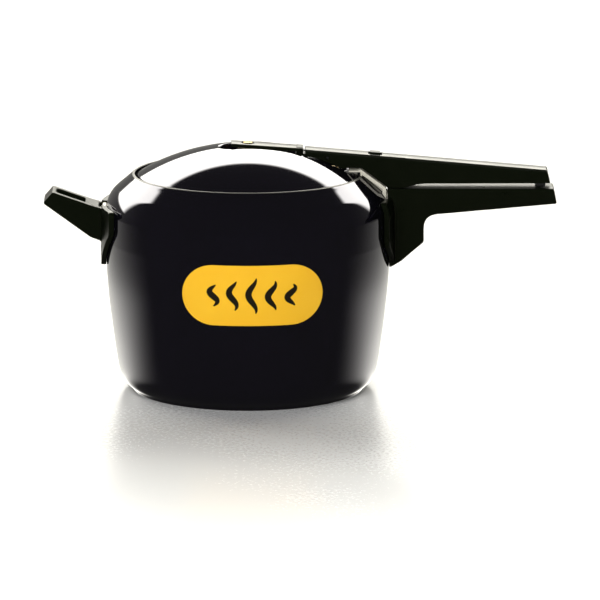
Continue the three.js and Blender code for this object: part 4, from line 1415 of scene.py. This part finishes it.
# ---------------------------------------------------------------- lid handle
@dataclass
class LidHandle:
    """The long upper handle with the bar that rocks on the bracket, its screws, pins and clip."""

    bar_half: float = 6.5
    bar_end: float = 150.0
    fork_inner: float = 8.6
    prong_radius: float = 4.0
    channel_half: float = 7.5
    top_half: float = 7.2
    cheek_half: float = 10.0
    foot_half: float = 12.2
    cheek_drop: float = 17.0
    bar_screws: Pair = (120.0, 140.0)
    stud_head: float = 4.0

    def outline(self) -> list[Pair]:
        """Side view of the moulding."""
        front, rear = WORK.front, WORK.rear
        low = WORK.body_top + WORK.gap
        ridge = WORK.fulcrum.z + 0.6
        ramp = WORK.bracket_top(107) + 1
        corners = [
            (front, DATUM.dome(front) - 0.4), *[(x, DATUM.dome(x) - 0.4) for x in (50, 58, 66, 74)],
            (78.5, ridge), (WORK.fulcrum.x + 0.5, ridge), (107, ramp), (108.4, WORK.body_top + 0.9),
            (122, WORK.body_top + 0.8), (126, low - 2.2), (131, low - 0.7), (138, low), (rear + 2.3, low),
            (rear + 2.5, low + 0.3), (rear, WORK.top(rear) + 0.4), (front, WORK.top(front) + 0.4),
        ]
        radii = [0, 0, 0, 0, 0, 1, 1, 0.6, 0.6, 3, 3, 3, 6, 0, 0.3, 2.2, 0.8]
        return rounded(corners, radii, 5)

    def shoulder(self, top: float) -> list[Pair]:
        """Rounded chamfer between the top face and the cheek."""
        corners = [
            (0, top), (self.top_half, top - 0.25), (self.cheek_half, top - 2.1),
            (self.foot_half, top - self.cheek_drop),
        ]
        return rounded(corners, [0, 1.4, 2.4, 0], 5)[1:-1]

    def moulding(self) -> None:
        """The hollow upper handle."""
        front, rear = WORK.front, WORK.rear
        top = WORK.top_at_front
        section = mirrored([
            *crowned(self.top_half, top + 0.25, 0.5), *self.shoulder(top),
            (self.foot_half, top - self.cheek_drop), (self.foot_half, top - 40),
        ])
        body = prism("lid_handle_moulding", self.outline(), Plane.XZ, -40, 40)
        combine(body, [prism("section", section, Plane.YZ, front, rear + 6, -WORK.slope)], "INTERSECT")
        deep = [(front - 5, 150), (110, 150), (110, WORK.ceiling(110)), (front - 5, WORK.ceiling(front - 5))]
        end = self.bar_end + 1
        bed = [
            (109, 150), (end, 150), (end, WORK.bar_top(end) + DATUM.clear),
            (109, WORK.bar_top(109) + DATUM.clear),
        ]
        x, half = WORK.stud_x, self.channel_half
        pad, pad_half = (WORK.pad[0] - 1.2, WORK.pad[1] + 1.2), WORK.pad_half + 0.8
        cutters = [
            prism("deep_channel", deep, Plane.XZ, -half, half),
            prism("bar_bed", bed, Plane.XZ, -half, half),
            box("pad_window", pad, (-pad_half, pad_half), (150, 200)),
            box("clip_pocket", (x - 4.6, x + 4.6), (-5.4, 5.4), (150, WORK.top(x) - 3.2)),
            rod("lever_pin_hole", WORK.lever_pin_hole, Axis.Y, tuple(WORK.pivot), -20, 20),
        ]
        for s in self.bar_screws:
            cutters.append(rod("screw_hole", WORK.screw_way, Axis.Z, (s, 0, 0), 150, WORK.top(s) - 2.4))
        combine(body, cutters)
        finished(soften(body, 0.45), PHENOLIC, Body.LID_HANDLE, "phenolic", "lid_handle")

    def bar(self) -> None:
        """The forked steel bar between the lid's trunnion and the handle."""
        outer = self.fork_inner + WORK.sheet
        z = WORK.trunnion.z
        strip = WORK.strip(15, self.bar_end, WORK.bar_floor, WORK.bar_top)
        yoke = WORK.strip(15, 23, WORK.bar_floor, WORK.bar_top)
        tip = arc(self.prong_radius, math.pi / 2, math.pi * 1.5, 16, (0, z))
        prong = [
            (23, WORK.bar_floor(23)), (23, WORK.bar_top(23)), (10, WORK.bar_top(10) + 1), *tip,
            (10, WORK.bar_floor(10) - 1),
        ]
        bar = prism("handle_bar_steel", strip, Plane.XZ, -self.bar_half, self.bar_half)
        parts = [prism("yoke", yoke, Plane.XZ, -outer, outer)]
        parts += [prism("prong", prong, Plane.XZ, *on_side(s, self.fork_inner, outer)) for s in (1, -1)]
        combine(bar, parts, "UNION")
        holes = [rod("pin_hole", WORK.pin_radius + PIN_FIT, Axis.Y, (0, 0, z), -20, 20)]
        holes += [rod("screw_hole", 2.06, Axis.Z, (s, 0, 0), 150, 190) for s in self.bar_screws]
        combine(bar, holes)
        finished(soften(bar, 0.2, 2), STEEL, Body.LID_HANDLE, "steel", "handle_bar")

    def pins(self) -> None:
        """The two trunnion pins and the release lever's pin."""
        z = WORK.trunnion.z
        near, far = self.fork_inner - 0.2, self.fork_inner + WORK.sheet + 2.2
        r = WORK.pin_radius
        profile = [(0, near), (r - 0.3, near), (r, near + 0.3), (r, far - 0.3), (r - 0.3, far), (0, far)]
        form = turned("pin_form", profile, 32, axis=Axis.Y)
        places = [((0, 0, z), (0, 0, 0)), ((0, 0, z), (0, 0, 180))]
        made = Scatter("trunnion_pins", places).build(form, STEEL)
        finished(made, STEEL, Body.LID_HANDLE, "steel", "trunnion_pin_1", "trunnion_pin_2")
        half = self.cheek_half - 0.4
        profile = [(0, -half), (0.9, -half), (1.1, -half + 0.2), (1.1, half - 0.2), (0.9, half), (0, half)]
        pin = turned("lever_pin_steel", profile, 28, tuple(WORK.pivot), Axis.Y)
        finished(shade(pin, 30), STEEL, Body.LID_HANDLE, "steel", "lever_pin")

    def screws(self) -> None:
        """The two slotted screws that hold the bar up into the handle."""
        low = -DATUM.clear - 0.4
        rise = WORK.top(120.0) - 3.2 - WORK.bar_floor(120.0)
        thread = rolled_thread(1.72, 1.9, rise - 7.6, 0.8, 8)
        profile = [
            (0, low - 2.4), (2.2, low - 2.3), (3.1, low - 1.8), (3.5, low - 1), (3.6, low - 0.5),
            (3.6, low), (1.9, low), (1.9, rise - 8.0), *thread, (1.9, rise - 0.8), (1.2, rise), (0, rise),
        ]
        form = turned("bar_screw_form", profile, 28)
        combine(form, [box("slot", (-5, 5), (-0.5, 0.5), (low - 4, low - 1.4))])
        places = [((x, 0, WORK.bar_floor(x)), (0, 0, 0)) for x in self.bar_screws]
        made = Scatter("bar_screws", places).build(form, STEEL)
        finished(made, STEEL, Body.LID_HANDLE, "steel", "bar_screw_1", "bar_screw_2")

    def clip(self) -> None:
        """The bent spring clip that snaps over the stud's head."""
        x = WORK.stud_x
        top = WORK.top(x) - 3.2 - DATUM.clear
        inner, outer = self.stud_head + 0.3, self.stud_head + 1.0
        foot = WORK.body_top + 0.5
        corners = [
            (-outer, foot), (-inner, foot), (-inner, top - 0.7), (inner, top - 0.7), (inner, foot),
            (outer, foot), (outer, top), (-outer, top),
        ]
        outline = rounded(corners, [0, 0, 0.5, 0.5, 0, 0, 1.1, 1.1], 5)
        clip = prism("catch_clip_steel", outline, Plane.YZ, x - 4, x + 4)
        finished(soften(clip, 0.1, 2), STEEL, Body.LID_HANDLE, "steel", "catch_clip")

    def build(self) -> None:
        """Makes everything that moves with the lid handle."""
        self.moulding()
        self.bar()
        self.pins()
        self.screws()
        self.clip()


# ---------------------------------------------------------------- release lever and weight
@dataclass
class VentControl:
    """The release lever with its nose and thumb pad, and the vent weight that it lifts."""

    nose: Pair = (-13.0, 43.0)
    nose_top: float = 193.9
    nose_slope: float = 0.069
    nose_thick: float = 3.0
    nose_half: float = 8.0
    arm_drop: float = 4.75
    arm_thick: float = 2.5
    arm_half: float = 6.0
    pad_proud: float = 1.6
    knob: float = 3.8
    weight_radius: float = 8.0
    weight_top: float = 189.6

    def top(self, x: float) -> float:
        """Top line of the nose."""
        return self.nose_top - self.nose_slope * x

    def arm_top(self, x: float) -> float:
        """Top of the arm inside the handle."""
        return self.top(x) - self.arm_drop

    def arm_floor(self, x: float) -> float:
        """Underside of the arm."""
        return self.arm_top(x) - self.arm_thick

    def lever(self) -> None:
        """The moulded lever."""
        front, rear = self.nose
        side = rounded(
            [
                (front, self.top(front) - self.nose_thick), (rear, self.top(rear) - self.nose_thick),
                (rear, self.top(rear)), (front, self.top(front)),
            ],
            [0.8, 0, 0, 1.0],
        )
        start = front - 2
        top = self.top(start)
        half = self.nose_half
        section = mirrored([
            *crowned(half - 1.0, top, 0.35), (half - 0.3, top - 0.7), (half, top - 1.3), (half, top - 12),
        ])
        lever = prism("release_lever_moulding", side, Plane.XZ, -40, 40)
        swept = prism("section", section, Plane.YZ, start, rear + 2, -self.nose_slope)
        combine(lever, [swept], "INTERSECT")
        half = self.arm_half
        arm = WORK.strip(rear - 6, WORK.pad[1], self.arm_floor, self.arm_top)
        riser = WORK.strip(rear - 5, rear, self.arm_floor, self.top)
        pad = WORK.strip(*WORK.pad, self.arm_floor, lambda x: WORK.top(x) + self.pad_proud)
        parts = [
            prism("arm", arm, Plane.XZ, -half, half),
            prism("riser", riser, Plane.XZ, -half, half),
            rod("hub", 2.0, Axis.Y, tuple(WORK.pivot), -half, half),
            prism("pad", pad, Plane.XZ, -WORK.pad_half, WORK.pad_half),
        ]
        combine(lever, parts, "UNION")
        cutters = [
            rod("weight_hole", 3.2, Axis.Z, (0, 0, 0), 180, 200, 48),
            rod("knob_dish", self.knob + 1.4, Axis.Z, (0, 0, 0), self.nose_top - 1.3, 200, 48),
            rod("pin_hole", WORK.lever_pin_hole, Axis.Y, tuple(WORK.pivot), -20, 20),
        ]
        combine(lever, cutters)
        finished(soften(lever, 0.3), PHENOLIC, Body.LEVER, "phenolic", "release_lever")

    def weight(self) -> None:
        """The turned brass weight that sits on the vent tube, its knob proud of the lever."""
        skirt = DATUM.well_floor + 5.2
        seat = node_box("vent_tube")[1].z + 0.2
        r, top, knob = self.weight_radius, self.weight_top, self.nose_top - 0.8
        inside = WORK.tube_radius + 0.7
        profile = [
            (0, seat), (inside - 0.3, seat), (inside, seat - 0.3), (inside, skirt + 0.3),
            (inside + 0.3, skirt), (r - 0.8, skirt), (r - 0.2, skirt + 0.3), (r, skirt + 0.8),
            (r, skirt + 4), (r - 0.35, skirt + 4.3), (r - 0.35, skirt + 4.9), (r, skirt + 5.2),
            (r, top - 1), (r - 0.3, top - 0.4), (r - 1, top), (2, top), (2, knob),
            (self.knob - 0.2, knob), (self.knob, knob + 0.2), (self.knob, knob + 0.8),
            (self.knob - 0.2, knob + 1.15), (self.knob - 0.7, knob + 1.38), (0, knob + 1.4),
        ]
        weight = turned("vent_weight_brass", profile, 64)
        finished(shade(weight, 30), BRASS, Body.WEIGHT, "brass", "vent_weight")

    def build(self) -> None:
        """Makes the lever and the weight."""
        self.lever()
        self.weight()


# ---------------------------------------------------------------- studio
@dataclass
class Studio:
    """A pale floor, one broad bright screen behind, soft fill in front, and the camera."""

    target: Triple = (40.6, 0.0, 68.6)
    elevation: float = 12.0
    distance_m: float = 7.0
    lens: float = 538.0
    screen: float = 7.0
    table: float = 2.6
    horizon: float = 0.22
    surround: float = 0.04
    screen_top: float = 46.0
    screen_low: float = 16.5
    screen_half: float = 57.0
    screen_blur: float = 3.0
    table_rise: tuple[Pair, Pair] = ((-8.5, -21.0), (-31.0, -18.0))
    table_spread: Pair = (95.0, 15.0)
    horizon_rise: Pair = (-40.0, -14.0)
    horizon_spread: Pair = (85.0, 20.0)
    fill_watts: float = 78.0
    fill_size: float = 2.2
    fill_place: Triple = (-0.6, -2.6, 1.5)
    warmth: str = "#fffdf4"
    floor_half: float = 20000.0
    floor_z: float = -0.05

    def floor(self) -> None:
        """The floor, pale and faintly glossy."""
        half, z = self.floor_half, self.floor_z
        corners = [(-half, -half, z), (half, -half, z), (half, half, z), (-half, half, z)]
        plane = make_object("studio_floor", corners, [(0, 1, 2, 3)])
        paper = Finish("studio_paper", "#e4e4e4", "#e8e8e8", 0.0, (0.26, 0.28), 1.6, 3.0, 400.0, 0.0)
        plane.data.materials.append(paper.material())
        plane.visible_glossy = False

    def world(self) -> None:
        """Light by direction: dim all round, a bright screen behind, a band at the horizon, the table."""
        world = bpy.data.worlds.new("studio_world")
        bpy.context.scene.world = world
        world.use_nodes = True
        tree = world.node_tree
        tree.nodes.clear()
        way = add(tree, "ShaderNodeTexCoord").outputs["Generated"]
        east, north, rise = add(tree, "ShaderNodeSeparateXYZ", {"Vector": way}).outputs
        bearing = add(tree, "ShaderNodeMath", {0: east, 1: north}, operation="ARCTAN2").outputs[0]
        spread = add(tree, "ShaderNodeMath", {0: bearing}, operation="ABSOLUTE").outputs[0]

        def step(value: bpy.types.NodeSocket, start: float, end: float) -> bpy.types.NodeSocket:
            """Soft step between two angles in degrees; heights are compared by their sines."""
            measure = math.radians if value is spread else lambda a: math.sin(math.radians(a))
            links = {"Value": value, "From Min": measure(start), "From Max": measure(end)}
            return add(tree, "ShaderNodeMapRange", links, interpolation_type="SMOOTHSTEP").outputs[0]

        def both(a: bpy.types.NodeSocket, b: bpy.types.NodeSocket) -> bpy.types.NodeSocket:
            """Product of two steps."""
            return add(tree, "ShaderNodeMath", {0: a, 1: b}, operation="MULTIPLY").outputs[0]

        top, low, half, blur = self.screen_top, self.screen_low, self.screen_half, self.screen_blur
        level = both(step(rise, top + blur / 2, top - blur / 2), step(rise, low - 2, low + 1))
        screen = both(level, step(spread, half + blur, half - blur))
        above, below = self.table_rise
        table = both(both(step(rise, *above), step(rise, *below)), step(spread, *self.table_spread))
        fade = both(step(rise, *self.horizon_rise), step(rise, top, low))
        horizon = both(fade, step(spread, *self.horizon_spread))
        power: bpy.types.NodeSocket | float = self.surround
        for mask, gain in ((screen, self.screen), (table, self.table), (horizon, self.horizon)):
            power = add(
                tree, "ShaderNodeMath", {0: mask, 1: gain, 2: power}, operation="MULTIPLY_ADD"
            ).outputs[0]
        glow = add(tree, "ShaderNodeBackground", {"Strength": power, "Color": linear(self.warmth)})
        add(tree, "ShaderNodeOutputWorld", {"Surface": glow.outputs[0]})

    def fill(self) -> None:
        """Broad soft light from in front and above that lifts the label and the handles."""
        light = bpy.data.lights.new("front_fill", "AREA")
        light.shape = "DISK"
        light.size = self.fill_size
        light.energy = self.fill_watts
        lamp = bpy.data.objects.new("front_fill", light)
        bpy.context.scene.collection.objects.link(lamp)
        place = Vector(self.fill_place)
        turn = (-place).to_track_quat("-Z", "Y")
        lamp.matrix_world = Matrix.Translation(place) @ turn.to_matrix().to_4x4()
        lamp.visible_glossy = False

    def camera(self) -> None:
        """The camera, a little above the handles' level, square to them."""
        lens = bpy.data.cameras.new("studio_camera")
        lens.sensor_width = 36
        lens.lens = self.lens
        lens.clip_start, lens.clip_end = 0.1, 100
        eye = bpy.data.objects.new("studio_camera", lens)
        bpy.context.scene.collection.objects.link(eye)
        a = math.radians(self.elevation)
        away = Vector((0, -math.cos(a), math.sin(a)))
        place = Vector(self.target) * MM + away * self.distance_m
        turn = (-away).to_track_quat("-Z", "Y")
        eye.matrix_world = Matrix.Translation(place) @ turn.to_matrix().to_4x4()
        bpy.context.scene.camera = eye

    def build(self) -> None:
        """Sets up the studio."""
        bpy.context.scene.view_settings.view_transform = "Standard"
        self.floor()
        self.world()
        self.fill()
        self.camera()


def main() -> None:
    """Builds every sub-assembly in order."""
    logging.basicConfig(level=logging.INFO, format="%(name)s %(message)s")
    for part in (Studio(), POT, Label(), PotHandles(), Lid(), LidFittings(), LidHandle(), VentControl()):
        part.build()
        LOG.info("%s built", type(part).__name__)


if __name__ == "__main__":
    main()
